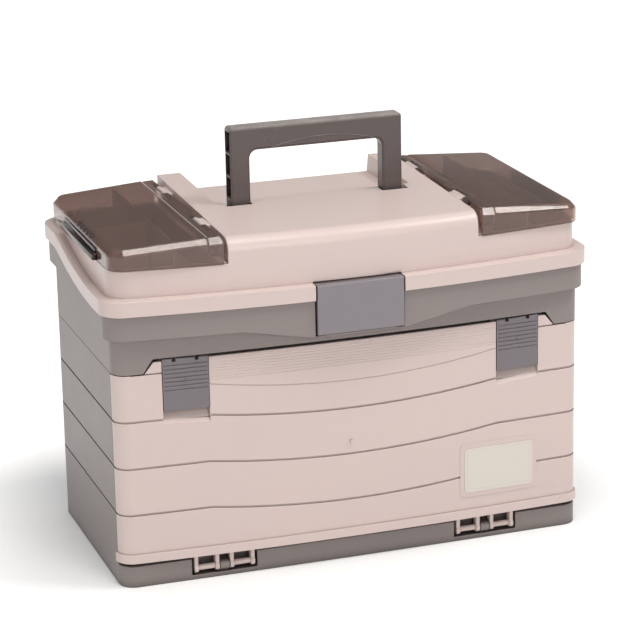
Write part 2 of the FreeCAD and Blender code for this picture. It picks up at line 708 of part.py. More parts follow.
def lid():
    base = parting_front
    walls = lid_plan("lid_walls", flush, (base, lid_shoulder))
    rim_top = rim_plan("lid_rim_plan", s.rim_grow, (base - above, parting_back + far / 4))
    rim = cut("lid_rim_capped", rim_top, side_region("lid_rim_cap", s.rim_height, parting_back + far))
    mass = fuse("lid_mass", walls, rim, crown("crown", flush, lid_shoulder - above))
    under_region = side_region("lid_over_parting", flush, parting_back + far)
    trough = recess("lid_recess", flush)
    slots = leg_slots("lid_slots", flush)
    outer = common("lid_outer", cut("lid_shaped", mass, trough, slots), under_region)
    inner_walls = lid_plan("lid_inner_walls", s.wall, (base - 2 * above, lid_shoulder - s.wall))
    inner_rim = cut("lid_inner_rim",
                    rim_plan("lid_inner_rim_plan", s.rim_grow - s.wall,
                             (base - 2 * above, parting_back + far / 4)),
                    side_region("lid_inner_cap", s.rim_height - s.wall, parting_back + far))
    inner_crown = crown("inner_crown", s.wall, lid_shoulder - 2 * above)
    inner_mass = fuse("lid_inner_mass", inner_walls, inner_rim, inner_crown)
    inner = cut("lid_inner", inner_mass, recess("inner_recess", s.wall), leg_slots("inner_slots", s.wall))
    shell = cut("lid_shell", outer, inner)
    room = s.wall + s.fit
    holes = [bay("bay_hole", side, sign, room, s.bay_ledge - room, (bay_floor - above, lid_top))
             for side, sign in SIDES]
    joined = fuse("lid_joined", shell, *centre_cheeks())
    latch_space = latch_recess("lid_latch_recess", s.centre_half + s.centre_gap, base - above, recess_back)
    high_cut = box("lid_latch_above", (-half_width, half_width), (-far, far),
                   (base + s.rim_height + s.wall / 2, lid_top + far))
    latch_cut = cut("lid_latch_cut", latch_space, high_cut)
    stub_bore = rod("lid_stub_bore", "x", (-centre_axis_forward, centre_pivot_up),
                    s.centre_pivot_radius + s.running,
                    (-s.centre_half - s.centre_gap - s.wall, s.centre_half + s.centre_gap + s.wall))
    opened = cut("lid_opened", joined, latch_cut, stub_bore, *holes)
    lugs = [lug for side, sign in SIDES for lug in cover_lugs(side, sign)]
    bores = []
    for side, sign in SIDES:
        for place_name, y in cover_knuckle_places():
            bores.append(rod(f"lug_bore_{side}_{place_name}", "y", (sign * cover_axis, cover_axis_up),
                             s.cover_pin_radius + s.running,
                             (y - s.knuckle_half - above / 2, y + s.knuckle_half + above / 2)))
        reach_in = s.opening_half - s.slot_side - 2 * s.wall
        reach_out = s.handle_half + s.slot_outside + 2 * s.wall
        x = (reach_in, reach_out) if sign > 0 else (-reach_out, -reach_in)
        bores.append(rod(f"handle_bore_{side}", "x", (leg_axis, handle_axis_up), s.handle_pin_radius, x))
    whole = fuse("lid_whole", opened, lid_knuckles(), *lugs)
    node(cut("lid", whole, *bores), "lid")
    for side, sign in SIDES:
        bay_tub(side, sign)
    bay_dividers()


# Handle

def handle():
    half, inner = s.handle_half, s.opening_half
    foot = handle_axis_up - s.handle_thick / 2
    top, under = grip_top, grip_top - s.grip_height
    corner, bend = s.handle_corner, s.opening_round
    points = [(half, foot), (half, top - corner), (half - corner, top), (corner - half, top),
              (-half, top - corner), (-half, foot), (-inner, foot), (-inner, under - bend),
              (bend - inner, under), (inner - bend, under), (inner, under - bend), (inner, foot)]
    arcs = {1: (corner, 1), 3: (corner, 1), 7: (bend, -1), 9: (bend, -1)}
    front = leg_axis - s.handle_thick / 2
    back = leg_axis + s.handle_thick / 2
    frame = prism("handle_frame", XZ, points, arcs, (front, back))
    round_foot = s.handle_thick / 2
    side = prism("handle_side", YZ,
                 [(front, handle_axis_up), (leg_axis, foot), (back, handle_axis_up), (back, top + above),
                  (front, top + above)],
                 {0: (round_foot, 1), 1: (round_foot, 1)}, (-half - above, half + above))
    edged = filleted("handle_edged", common("handle_body", frame, side), s.handle_edge,
                     lambda edge_box, edge: edge_box.ZMin > (under - s.fit).value
                     and edge_box.YLength < s.fit.value and edge_box.XLength > inner.value)
    tools = []
    rib_bottom = handle_axis_up + s.handle_thick / 2
    cell = (top - s.handle_corner - rib_bottom) / SLOT_CELLS
    for side_name, sign in SIDES:
        x = (half - s.channel_depth, half + above) if sign > 0 else (-half - above, s.channel_depth - half)
        for i in range(SLOT_CELLS):
            low = rib_bottom + i * cell
            tools.append(box(f"channel_{side_name}_{i + 1}", x,
                             (front + s.channel_wall, back - s.channel_wall),
                             (low + s.channel_rib / 2, low + cell - s.channel_rib / 2)))
    bore = rod("handle_leg_bore", "x", (leg_axis, handle_axis_up), s.handle_pin_radius + s.running,
               (-half - above, half + above))
    node(cut("handle", edged, bore, *tools), "handle")
    pins = []
    for side_name, sign in SIDES:
        reach_in = s.opening_half - s.slot_side - 2 * s.wall
        reach_out = s.handle_half + s.slot_outside + 2 * s.wall
        x = (reach_in, reach_out) if sign > 0 else (-reach_out, -reach_in)
        pins.append(rod(f"handle_pin_{side_name}", "x", (leg_axis, handle_axis_up), s.handle_pin_radius, x))
    group = doc.addObject("Part::Compound", "handle_pins")
    group.Links = pins
    node(group, "handle_pins")


# Smoky covers over the accessory bays

def cover_form(name, inset, low):
    # The top falls from the crown's side to the outer wall.
    inner_edge = block_half + 2 * s.fit
    block = common(f"{name}_block", lid_plan(f"{name}_plan", inset, (low, cover_top + above)),
                   box(f"{name}_slab", (inner_edge, half_width + above),
                       (-far, far), (low, cover_top + above)))
    outer_high = cover_top - s.cover_fall - inset
    roof = above_cover(f"{name}_roof", 1, inset)
    slack = s.fit.value

    def top_edge(edge_box, edge):
        return edge_box.ZMin > outer_high.value - slack and edge_box.XMax > inner_edge.value + slack
    return filleted(f"{name}_rounded", cut(f"{name}_sloped", block, roof), s.cover_round - inset, top_edge)


def cover():
    low = lid_shoulder + s.fit
    outer = cover_form("cover_outer", flush, low)
    hollow = cover_form("cover_hollow", s.cover_wall, low - above)
    edge = cover_axis - s.knuckle_radius - s.fit * 2
    hinge_cut = box("cover_hinge_cut", (block_half - above, edge), (-far, far),
                    (low - 2 * above, cover_top + 2 * above))
    shell = cut("cover_shell", outer, hollow, hinge_cut)
    centre = (cover_axis, cover_axis_up)
    knuckles = []
    clear = []
    for place_name, y in cover_knuckle_places():
        for end in (-1, 1):
            near = y + end * (s.knuckle_half + s.fit)
            away = near + end * s.knuckle_half
            span = (near, away) if end > 0 else (away, near)
            knuckles.append(rod(f"cover_knuckle_{place_name}_{'b' if end > 0 else 'f'}", "y", centre,
                                s.knuckle_radius, span))
        clear.append(box(f"cover_gap_{place_name}", (block_half, cover_axis + s.knuckle_radius + s.fit * 2),
                         (y - s.knuckle_half - s.fit, y + s.knuckle_half + s.fit),
                         (low, cover_top + above)))
        clear.append(rod(f"cover_bore_{place_name}", "y", centre, s.cover_pin_radius + s.running,
                         (y - 3 * s.knuckle_half, y + 3 * s.knuckle_half)))
    tab = rounded("cover_tab", XZ, (lid_half - s.cover_wall / 2, low + s.fit),
                  (lid_half + s.tab_out, low + s.tab_height), s.cover_wall,
                  (s.tab_front_inset - half_depth, half_depth - s.tab_back_inset))
    whole = cut("cover_whole", fuse("cover_joined", shell, tab, *knuckles), *clear)
    node(whole, "right_cover")
    node(mirrored("left_cover", whole), "left_cover")
    for side, sign in SIDES:
        pins = []
        for place_name, y in cover_knuckle_places():
            reach = 2 * s.knuckle_half
            pins.append(rod(f"cover_pin_{side}_{place_name}", "y", (sign * cover_axis, cover_axis_up),
                            s.cover_pin_radius, (y - reach, y + reach)))
        group = doc.addObject("Part::Compound", f"{side}_cover_pins")
        group.Links = pins
        node(group, f"{side}_cover_pins")


# Centre latch

centre_front = half_depth + s.rim_grow + s.rim_bow
centre_axis_forward = centre_front - s.centre_deep / 2


def centre_latch():
    back = centre_front - s.centre_deep
    x = (-s.centre_half, s.centre_half)
    outer = rounded("centre_outer", YZ, (-centre_front, centre_low), (-back, centre_top),
                    s.centre_wall / 2, x)
    hollow = box("centre_hollow", (-s.centre_half + s.centre_wall, s.centre_half - s.centre_wall),
                 (-centre_front + s.centre_wall, -back + above),
                 (centre_low + s.centre_wall, centre_top - s.centre_wall))
    stub_reach = s.centre_half + s.centre_gap + s.wall - s.fit
    stubs = rod("centre_stubs", "x", (-centre_axis_forward, centre_pivot_up), s.centre_pivot_radius,
                (-stub_reach, stub_reach))
    middle = box("centre_middle", (-s.centre_half + s.centre_wall, s.centre_half - s.centre_wall),
                 (-far, far), (centre_low, centre_top + above))
    ends = cut("centre_stub_ends", stubs, middle)
    node(fuse("centre_latch", cut("centre_shell", outer, hollow), ends), "centre_latch")


# Front door

def smile(name, level, sag, width, across, span):
    # A thin band across the door: straight outside the kinks, sagging between them.
    half = half_width + above
    top, bottom = level + width / 2, level - width / 2
    radius = bow_radius(across, sag)
    points = [(-half, top), (-half, bottom), (-across, bottom), (across, bottom), (half, bottom), (half, top),
              (across, top), (-across, top)]
    return prism(name, XZ, points, {2: (radius, 1), 6: (radius, -1)}, span)


def front_door():
    low = door_bottom
    top = door_top
    arc_level = tray_level - s.arc_drop
    outer = module("door_outer", flush, s.panel_bow, (low, top))
    inner = module("door_inner", -s.door_wall, s.panel_bow, (low - above, top + above))
    behind = box("door_behind", (-half_width - above, half_width + above), (-front_line - s.fit * 2, far),
                 (low - above, top + above))
    flare = module("door_flare", s.flare_proud, s.panel_bow, (low, low + s.flare_height))
    corner = ear_low - s.door_gap
    ears = []
    shelf = tray_level - s.door_gap
    outside = half_width + above
    upper = ear_high - s.door_gap
    for side, sign in SIDES:
        ears.append(prism(f"door_ear_{side}", XZ,
                          [(sign * corner, shelf), (sign * outside, shelf), (sign * outside, top + above),
                           (sign * upper, top + above), (sign * upper, top)], {}, (-far, far)))
    shell = cut("door_shell", fuse("door_mass", outer, flare), inner, behind, *ears)
    housings = []
    pockets = []
    bores = []
    back = half_depth + s.panel_bow / 2 - s.pocket_depth
    for side, sign in SIDES:
        centre = sign * latch_across
        half = s.latch_half + s.fit * 2
        housings.append(box(f"door_housing_{side}", (centre - half - s.wall, centre + half + s.wall),
                            (-half_depth - s.fit, s.wall - back), (scoop_low - s.wall, top)))
        pockets.append(box(f"door_pocket_{side}", (centre - half, centre + half), (-far, -back),
                           (latch_low - s.fit * 2, top + above)))
        pockets.append(prism(f"door_scoop_{side}", YZ,
                             [(-back, latch_low), (-far, latch_low), (-far, scoop_low - far / 4),
                              (-half_depth - s.panel_bow, scoop_low - s.wall)], {},
                             (centre - half, centre + half)))
        reach = half + s.pivot_reach
        bores.append(rod(f"door_pivot_{side}", "x", (-pivot_forward, pivot_up), s.pivot_radius + s.running,
                         (centre - reach, centre + reach)))
    housed = common("door_housings", fuse("door_housing_blocks", *housings),
                    module("door_housing_plan", flush, s.panel_bow, (low, top)))
    tool = fuse("door_pocket_tools", *pockets, *bores)
    skin = cut("door_skin", module("door_skin_outer", above, s.panel_bow, (low - above, top + above)),
               module("door_skin_inner", -s.groove_depth, s.panel_bow, (low - 2 * above, top + 2 * above)))
    lines = [smile(f"door_groove_{i}", base_height + i * s.frame_pitch, s.groove_sag, s.groove_width,
                   kink_across, (-far, -front_line + above)) for i in range(DRAWERS - 1)]
    grooves = common("door_grooves", fuse("door_lines", *lines), skin)
    rib_skin = cut("door_rib_skin", module("door_rib_outer", above, s.panel_bow, (low, top + above)),
                   module("door_rib_inner", -s.rib_depth, s.panel_bow, (low - above, top + 2 * above)))
    ribs = []
    for i in range(DOOR_RIBS):
        level = top - s.rib_pitch * i - s.groove_width
        ribs.append(box(f"door_rib_{i + 1}", (-kink_across, kink_across), (-far, -front_line),
                        (level - s.rib_width, level)))
    rib_cut = common("door_rib_cut", fuse("door_ribs", *ribs), rib_skin)
    arc_line = smile("door_arc", arc_level, s.arc_sag, s.groove_width / 2, kink_across, (-far, -front_line))
    arc_cut = common("door_arc_cut",
                     common("door_arc_middle", arc_line,
                            box("door_arc_box", (-kink_across, kink_across), (-far, far),
                                (arc_level - 4 * s.arc_sag, top))), rib_skin)
    pad = common("door_pad",
                 module("door_pad_plan", s.pad_proud, s.panel_bow, (low, top)),
                 rounded("door_pad_shape", XZ, (pad_across - s.pad_width / 2, pad_up - s.pad_height / 2),
                         (pad_across + s.pad_width / 2, pad_up + s.pad_height / 2), s.pad_round,
                         (-far, -half_depth)))
    carved = cut("door_carved", fuse("door_full", shell, housed), tool, grooves, rib_cut, arc_cut)
    arms = []
    roots = []
    for side, sign in SIDES:
        hinge = sign * hinge_across
        for offset in (-s.arm_outer, -s.arm_inner, s.arm_inner, s.arm_outer):
            x = (hinge + offset - s.arm_thick / 2, hinge + offset + s.arm_thick / 2)
            tag = f"door_arm_{side}_{len(arms)}"
            arms.append(box(tag, x, (-half_depth - s.base_bow / 2, s.arm_round - hinge_forward),
                            (s.hinge_up, low + s.wall)))
            arms.append(rod(f"{tag}_end", "x", (-hinge_forward, s.hinge_up), s.arm_round, x))
        reach = s.arm_outer + s.arm_thick / 2
        arms.append(rod(f"door_bar_{side}", "x", (-hinge_forward, s.hinge_up), s.bar_radius,
                        (hinge - reach, hinge + reach)))
        roots.append(box(f"door_hinge_root_{side}", (hinge - reach, hinge + reach),
                         (-far, s.arm_round - hinge_forward), (low, low + s.wall)))
    footing = common("door_hinge_roots", fuse("door_root_blocks", *roots),
                     module("door_root_plan", -s.door_wall / 2, s.panel_bow, (low, top)))
    node(fuse("front_door", carved, pad, footing, *arms), "front_door")
    sticker = cut("label_skin", module("label_outer", s.pad_proud + s.sticker_thick, s.panel_bow, (low, top)),
                  module("label_inner", s.pad_proud, s.panel_bow, (low - above, top + above)))
    plate = common("label_plate_body", sticker,
                   rounded("label_shape", XZ,
                           (pad_across - s.pad_width / 2 + s.sticker_margin,
                            pad_up - s.pad_height / 2 + s.sticker_margin),
                           (pad_across + s.pad_width / 2 - s.sticker_margin,
                            pad_up + s.pad_height / 2 - s.sticker_margin), s.pad_round, (-far, -half_depth)))
    node(plate, "label_plate")


def door_latches():
    for side, sign in SIDES:
        centre = sign * latch_across
        x = (centre - s.latch_half, centre + s.latch_half)
        top = latch_top
        skin = cut(f"latch_{side}_skin",
                   module(f"latch_{side}_outer", s.latch_proud, s.panel_bow, (latch_low, top)),
                   module(f"latch_{side}_inner", s.latch_proud - s.latch_thick, s.panel_bow,
                          (latch_low - above, top + above)))
        plate = common(f"latch_{side}_plate", skin, box(f"latch_{side}_box", x, (-far, -front_line),
                                                        (latch_low, top)))
        boss = box(f"latch_{side}_boss", x, (-half_depth - s.panel_bow / 3, -pivot_forward),
                   (pivot_up - s.claw_half, pivot_up + s.claw_half))
        eye = rod(f"latch_{side}_eye", "x", (-pivot_forward, pivot_up), s.claw_eye, x)
        reach = s.pivot_reach + s.fit
        stub = rod(f"latch_{side}_stub", "x", (-pivot_forward, pivot_up), s.pivot_radius,
                   (x[0] - reach, x[1] + reach))
        notches = [box(f"latch_{side}_notch_{i}", (centre + i * s.latch_half / 2 - s.arm_thick / 2,
                                                   centre + i * s.latch_half / 2 + s.arm_thick / 2),
                       (-far, far), (top - s.wall, top + above)) for i in (-1, 1)]
        label = f"door_latch_{side}"
        node(cut(label, fuse(f"{label}_solid", plate, boss, eye, stub), *notches), label)


# Drawers, each a body with its own pads and pockets

def plane_of(body, role):
    return next(feature for feature in body.Origin.OriginFeatures if feature.Role == role)


def level_sketch(body, name, level, low, high):
    # A rectangle at a height, on the body's own ground plane.
    sketch = body.newObject("Sketcher::SketchObject", name)
    sketch.AttachmentSupport = (plane_of(body, "XY_Plane"), [""])
    sketch.MapMode = "FlatFace"
    sketch.setExpression("AttachmentOffset.Base.z", level.text)
    (x0, y0), (x1, y1) = low, high
    draw(sketch, [(x0, y0), (x1, y0), (x1, y1), (x0, y1)], {})
    return sketch


def pad(body, name, level, low, high, height):
    feature = body.newObject("PartDesign::Pad", name)
    feature.Profile = level_sketch(body, f"{name}_sketch", level, low, high)
    feature.setExpression("Length", height.text)
    return feature


def pocket(body, name, level, low, high, depth):
    # Cuts down from its level.
    feature = body.newObject("PartDesign::Pocket", name)
    feature.Profile = level_sketch(body, f"{name}_sketch", level, low, high)
    feature.setExpression("Length", depth.text)
    return feature


drawer_front = front_line + s.fit - s.front_thick
cell_half = drawer_half - s.drawer_wall


def drawer(index):
    level = drawer_level + (index - 1) * s.frame_pitch
    label = f"drawer_{index}"
    body = doc.addObject("PartDesign::Body", label)
    floor = level + s.drawer_floor_up
    rail_top = level + s.frame_pitch - s.rail_drop
    flange = rail_top + s.fit
    top = flange + s.flange_thick
    height = top - floor
    pad(body, f"{label}_tub", floor, (-drawer_half, -drawer_front), (drawer_half, drawer_back), height)
    pad(body, f"{label}_flange", flange, (-drawer_half - s.flange_reach, -drawer_front),
        (drawer_half + s.flange_reach, drawer_back), s.flange_thick)
    pocket(body, f"{label}_inside", top, (-cell_half, s.drawer_wall - drawer_front),
           (cell_half, drawer_back - s.drawer_wall), height - s.drawer_wall)
    pad(body, f"{label}_front", level + s.drawer_gap, (-front_half, -drawer_front - s.front_thick),
        (front_half, -drawer_front), s.frame_pitch - 2 * s.drawer_gap)
    pull = level + s.frame_pitch - s.drawer_gap - s.pull_height
    pad(body, f"{label}_pull", pull, (-s.pull_half, -drawer_front - s.front_thick - s.pull_reach),
        (s.pull_half, -drawer_front), s.pull_height)
    pocket(body, f"{label}_grip", pull + s.pull_height - s.front_thick,
           (-s.pull_half + s.front_thick, -drawer_front - s.front_thick - s.pull_reach + s.drawer_wall),
           (s.pull_half - s.front_thick, -drawer_front - s.front_thick), s.pull_height)
    node(body, label)
    half = s.drawer_wall / 2
    across = drawer_half / 3
    y = (-drawer_front + s.drawer_wall + s.fit, drawer_back - s.drawer_wall - s.fit)
    z = (floor + s.drawer_wall, floor + s.drawer_wall + s.cell_divider_height)
    plates = [box(f"{label}_plate_{i}", (i * across - half, i * across + half), y, z) for i in (-1, 1)]
    group = doc.addObject("Part::Compound", f"{label}_dividers")
    group.Links = plates
    node(group, f"{label}_dividers")


base_frame()
for place_in_stack, frame_label in enumerate(("lower_frame", "middle_frame", "upper_frame")):
    drawer_frame(frame_label, base_height + place_in_stack * s.frame_pitch)
top_tray()
hinge_rods()
lid()
handle()
cover()
centre_latch()
front_door()
door_latches()
for drawer_index in range(1, DRAWERS + 1):
    drawer(drawer_index)
doc.recompute()

# Every object's state, then every sub-part's shape, before anything is written
faults = [f"{thing.Name}: {thing.State}" for thing in doc.Objects
          if "Invalid" in thing.State or "Error" in thing.State]
for thing in NODES:
    if thing.Shape.isNull() or not thing.Shape.isValid() or not thing.Shape.Solids:
        faults.append(f"{thing.Label}: shape is null, not valid or holds no solid")
if faults:
    raise SystemExit("\n".join(faults))
os.makedirs("parts", exist_ok=True)
for thing in NODES:
    thing.Shape.exportStep(f"parts/{thing.Label}.step")
    print(f"{thing.Label}: {len(thing.Shape.Solids)} solid, {thing.Shape.Volume / 1000:.1f} cm3")
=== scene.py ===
import math

import bmesh
import bpy
from mathutils import Matrix, Vector


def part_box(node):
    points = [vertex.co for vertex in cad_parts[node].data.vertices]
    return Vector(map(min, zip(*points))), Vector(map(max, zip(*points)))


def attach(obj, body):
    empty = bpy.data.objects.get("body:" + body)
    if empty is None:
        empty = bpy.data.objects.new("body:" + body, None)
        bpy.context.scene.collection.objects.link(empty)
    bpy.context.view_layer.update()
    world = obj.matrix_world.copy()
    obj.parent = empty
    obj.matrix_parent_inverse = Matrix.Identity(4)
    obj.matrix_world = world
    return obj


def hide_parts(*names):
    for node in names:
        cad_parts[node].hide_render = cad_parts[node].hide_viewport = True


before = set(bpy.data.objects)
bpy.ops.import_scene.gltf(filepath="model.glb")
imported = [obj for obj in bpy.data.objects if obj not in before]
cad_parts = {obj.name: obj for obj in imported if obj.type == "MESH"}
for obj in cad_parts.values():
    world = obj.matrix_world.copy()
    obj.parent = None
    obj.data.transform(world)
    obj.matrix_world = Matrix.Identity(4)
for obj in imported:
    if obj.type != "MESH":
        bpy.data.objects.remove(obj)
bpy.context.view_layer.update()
mm = 0.001
sides = {"left": -1, "right": 1}
weldReach = 0.002 * mm
splitReach = 0.0005 * mm
flatAngle = 0.4  # degrees within which a solid's triangles count as one flat face
smoothAngle = 34  # degrees up to which two faces shade as one
rimAngle = 1.0  # radians from which an edge of a turned form is its rim
mostly = 0.5  # share of a normal along an axis, for a face that looks that way
squarely = 0.9  # the same, for a face that looks straight that way
alongY = Matrix.Rotation(math.radians(90), 3, "X")  # lays a standing form down along y
white = (1, 1, 1, 1)


# Small helpers

def report(stage):
    print(f"tackle cabinet: {stage}")


def cleanCopy(nodeName):
    # A merged copy of a solid's mesh, its flat regions joined into single faces.
    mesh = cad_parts[nodeName].data.copy()
    for name in [layer.name for layer in mesh.attributes if layer.name == "custom_normal"]:
        mesh.attributes.remove(mesh.attributes[name])
    bm = bmesh.new()
    bm.from_mesh(mesh)
    bpy.data.meshes.remove(mesh)
    bmesh.ops.remove_doubles(bm, verts=bm.verts, dist=weldReach)
    bmesh.ops.dissolve_limit(bm, angle_limit=math.radians(flatAngle), verts=bm.verts, edges=bm.edges,
                             delimit={"NORMAL"})
    return bm


def splitFaces(bm, faces, place, normal):
    # Splits the given faces along a plane, both sides kept.
    geometry = set(faces)
    for face in faces:
        geometry.update(face.edges)
        geometry.update(face.verts)
    bmesh.ops.bisect_plane(bm, geom=list(geometry), plane_co=place, plane_no=normal, dist=splitReach)


def sinkStrip(bm, faces, depth):
    # Sinks a strip of faces straight in, or raises it where the depth is above zero.
    if faces:
        bmesh.ops.inset_region(bm, faces=faces, thickness=0, depth=depth, use_even_offset=True)


def addPiece(bm, name, body, material, replaced=()):
    # Turns a finished bmesh into a piece that rides its body.
    mesh = bpy.data.meshes.new(name)
    for face in bm.faces:
        face.smooth = True
    bm.to_mesh(mesh)
    bm.free()
    mesh.set_sharp_from_angle(angle=math.radians(smoothAngle))
    mesh.materials.append(material)
    piece = bpy.data.objects.new(name, mesh)
    bpy.context.scene.collection.objects.link(piece)
    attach(piece, body)
    if replaced:
        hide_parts(*replaced)
    return piece


def roundOff(bm, edges, radius, segments=2):
    bmesh.ops.bevel(bm, geom=edges, affect="EDGES", offset=radius, segments=segments, profile=0.5,
                    material=-1)


def softenEdges(piece, width, angle=38):
    # Moulded edges: a small round on every sharp edge, with normals weighted to the big faces.
    bevel = piece.modifiers.new("mouldedEdge", "BEVEL")
    bevel.width = width
    bevel.segments = 2
    bevel.limit_method = "ANGLE"
    bevel.angle_limit = math.radians(angle)
    bevel.use_clamp_overlap = False
    bevel.miter_outer = "MITER_ARC"
    bevel.harden_normals = False
    weighted = piece.modifiers.new("weightedNormals", "WEIGHTED_NORMAL")
    weighted.keep_sharp = True
    weighted.weight = 60


# Shared effects, each built once

def newGroup(name, inputs, outputs):
    group = bpy.data.node_groups.new(name, "ShaderNodeTree")
    for label, kind, value in inputs:
        socket = group.interface.new_socket(label, in_out="INPUT", socket_type=kind)
        socket.default_value = value
    for label, kind in outputs:
        group.interface.new_socket(label, in_out="OUTPUT", socket_type=kind)
    return group, group.nodes.new("NodeGroupInput"), group.nodes.new("NodeGroupOutput")


def mathNode(tree, operation, *values):
    node = tree.nodes.new("ShaderNodeMath")
    node.operation = operation
    for socket, value in zip(node.inputs, values):
        if isinstance(value, (int, float)):
            socket.default_value = value
        else:
            tree.links.new(value, socket)
    return node.outputs[0]


def mixColour(tree, factor, first, second):
    node = tree.nodes.new("ShaderNodeMix")
    node.data_type = "RGBA"
    for socket, value in ((node.inputs[0], factor), (node.inputs[6], first), (node.inputs[7], second)):
        if isinstance(value, (int, float, tuple)):
            socket.default_value = value
        else:
            tree.links.new(value, socket)
    return node.outputs[2]


def rangeNode(tree, value, fromLow, fromHigh, toLow, toHigh, smooth=False):
    node = tree.nodes.new("ShaderNodeMapRange")
    if smooth:
        node.interpolation_type = "SMOOTHSTEP"
    numbers = {"From Min": fromLow, "From Max": fromHigh, "To Min": toLow, "To Max": toHigh}
    for label, number in numbers.items():
        node.inputs[label].default_value = number
    tree.links.new(value, node.inputs["Value"])
    return node.outputs["Result"]


def noiseNode(tree, vector, scale, detail, roughness=0.5):
    node = tree.nodes.new("ShaderNodeTexNoise")
    tree.links.new(vector, node.inputs["Vector"])
    if isinstance(scale, (int, float)):
        node.inputs["Scale"].default_value = scale
    else:
        tree.links.new(scale, node.inputs["Scale"])
    node.inputs["Detail"].default_value = detail
    node.inputs["Roughness"].default_value = roughness
    return node.outputs["Fac"]


def buildMouldedSkin():
    # Satin moulded plastic: slow flow marks in the colour, fine spark-eroded grain in the height.
    group, given, out = newGroup(
        "mouldedSkin",
        [("Vector", "NodeSocketVector", (0, 0, 0)), ("Colour", "NodeSocketColor", white),
         ("Flow Colour", "NodeSocketColor", white), ("Flow Scale", "NodeSocketFloat", 9.0),
         ("Flow", "NodeSocketFloat", 0.5), ("Grain Scale", "NodeSocketFloat", 1400.0),
         ("Roughness", "NodeSocketFloat", 0.4), ("Roughness Spread", "NodeSocketFloat", 0.08)],
        [("Colour", "NodeSocketColor"), ("Roughness", "NodeSocketFloat"), ("Height", "NodeSocketFloat")])
    vector = given.outputs["Vector"]
    stretched = group.nodes.new("ShaderNodeMapping")
    stretched.inputs["Scale"].default_value = (0.6, 1.0, 1.7)
    group.links.new(vector, stretched.inputs["Vector"])
    slow = noiseNode(group, stretched.outputs[0], given.outputs["Flow Scale"], detail=3.0)
    amount = mathNode(group, "MULTIPLY", slow, given.outputs["Flow"])
    mixed = mixColour(group, amount, given.outputs["Colour"], given.outputs["Flow Colour"])
    group.links.new(mixed, out.inputs["Colour"])
    grain = noiseNode(group, vector, given.outputs["Grain Scale"], detail=2.0)
    group.links.new(grain, out.inputs["Height"])
    smear = noiseNode(group, vector, scale=26.0, detail=4.0, roughness=0.6)
    centred = mathNode(group, "SUBTRACT", smear, 0.5)
    spread = mathNode(group, "MULTIPLY", centred, given.outputs["Roughness Spread"])
    both = mathNode(group, "ADD", spread, given.outputs["Roughness"])
    group.links.new(both, out.inputs["Roughness"])
    return group


def buildEdgeRub():
    # A mask of rubbed edges: where the rounded normal leaves the face's own.
    group, given, out = newGroup(
        "edgeRub",
        [("Vector", "NodeSocketVector", (0, 0, 0)), ("Reach", "NodeSocketFloat", 0.0012),
         ("Amount", "NodeSocketFloat", 0.5)],
        [("Mask", "NodeSocketFloat")])
    geometry = group.nodes.new("ShaderNodeNewGeometry")
    bevel = group.nodes.new("ShaderNodeBevel")
    bevel.samples = 4
    group.links.new(given.outputs["Reach"], bevel.inputs["Radius"])
    dot = group.nodes.new("ShaderNodeVectorMath")
    dot.operation = "DOT_PRODUCT"
    group.links.new(bevel.outputs[0], dot.inputs[0])
    group.links.new(geometry.outputs["Normal"], dot.inputs[1])
    lean = mathNode(group, "SUBTRACT", 1.0, dot.outputs["Value"])
    patchy = noiseNode(group, given.outputs["Vector"], scale=60.0, detail=3.0, roughness=0.6)
    leanGain = 5.0
    strong = mathNode(group, "MULTIPLY", lean, leanGain)
    broken = mathNode(group, "MULTIPLY", strong, patchy)
    scaled = mathNode(group, "MULTIPLY", broken, given.outputs["Amount"])
    clamp = group.nodes.new("ShaderNodeClamp")
    group.links.new(scaled, clamp.inputs[0])
    group.links.new(clamp.outputs[0], out.inputs["Mask"])
    return group


def buildDustAndSheen():
    # A mask on what faces up: fine dust that settles there, and where it is turned up high, a painted sheen
    # of light on the top.
    group, given, out = newGroup(
        "settledDustAndSheen",
        [("Vector", "NodeSocketVector", (0, 0, 0)), ("Amount", "NodeSocketFloat", 0.1)],
        [("Mask", "NodeSocketFloat")])
    geometry = group.nodes.new("ShaderNodeNewGeometry")
    split = group.nodes.new("ShaderNodeSeparateXYZ")
    group.links.new(geometry.outputs["Normal"], split.inputs[0])
    upward = mathNode(group, "MAXIMUM", split.outputs["Z"], 0.0)
    cloud = noiseNode(group, given.outputs["Vector"], scale=34.0, detail=5.0, roughness=0.65)
    upwardCloud = mathNode(group, "MULTIPLY", upward, cloud)
    scaled = mathNode(group, "MULTIPLY", upwardCloud, given.outputs["Amount"])
    group.links.new(scaled, out.inputs["Mask"])
    return group


def buildPaintedCreviceShade():
    # A mask of painted shade deep in a groove or a gap, where light hardly reaches.
    group, given, out = newGroup(
        "paintedCreviceShadeGroup",
        [("Reach", "NodeSocketFloat", 0.003), ("Amount", "NodeSocketFloat", 1.0)],
        [("Mask", "NodeSocketFloat")])
    shade = group.nodes.new("ShaderNodeAmbientOcclusion")
    shade.samples = 8
    group.links.new(given.outputs["Reach"], shade.inputs["Distance"])
    deep = rangeNode(group, shade.outputs["AO"], fromLow=0.80, fromHigh=0.35, toLow=0.0, toHigh=1.0)
    scaled = mathNode(group, "MULTIPLY", deep, given.outputs["Amount"])
    group.links.new(scaled, out.inputs["Mask"])
    return group


mouldedSkin = buildMouldedSkin()
edgeRub = buildEdgeRub()
settledDustAndSheen = buildDustAndSheen()
paintedCreviceShadeGroup = buildPaintedCreviceShade()


def placeGroup(tree, group, values):
    node = tree.nodes.new("ShaderNodeGroup")
    node.node_tree = group
    for label, value in values.items():
        if isinstance(value, (int, float, tuple)):
            node.inputs[label].default_value = value
        else:
            tree.links.new(value, node.inputs[label])
    return node


def linear(red, green, blue):
    # A colour written as it looks on screen, 0 to 255.
    def channel(value):
        value /= 255
        return value / 12.92 if value <= 0.04045 else ((value + 0.055) / 1.055) ** 2.4
    return (channel(red), channel(green), channel(blue), 1.0)


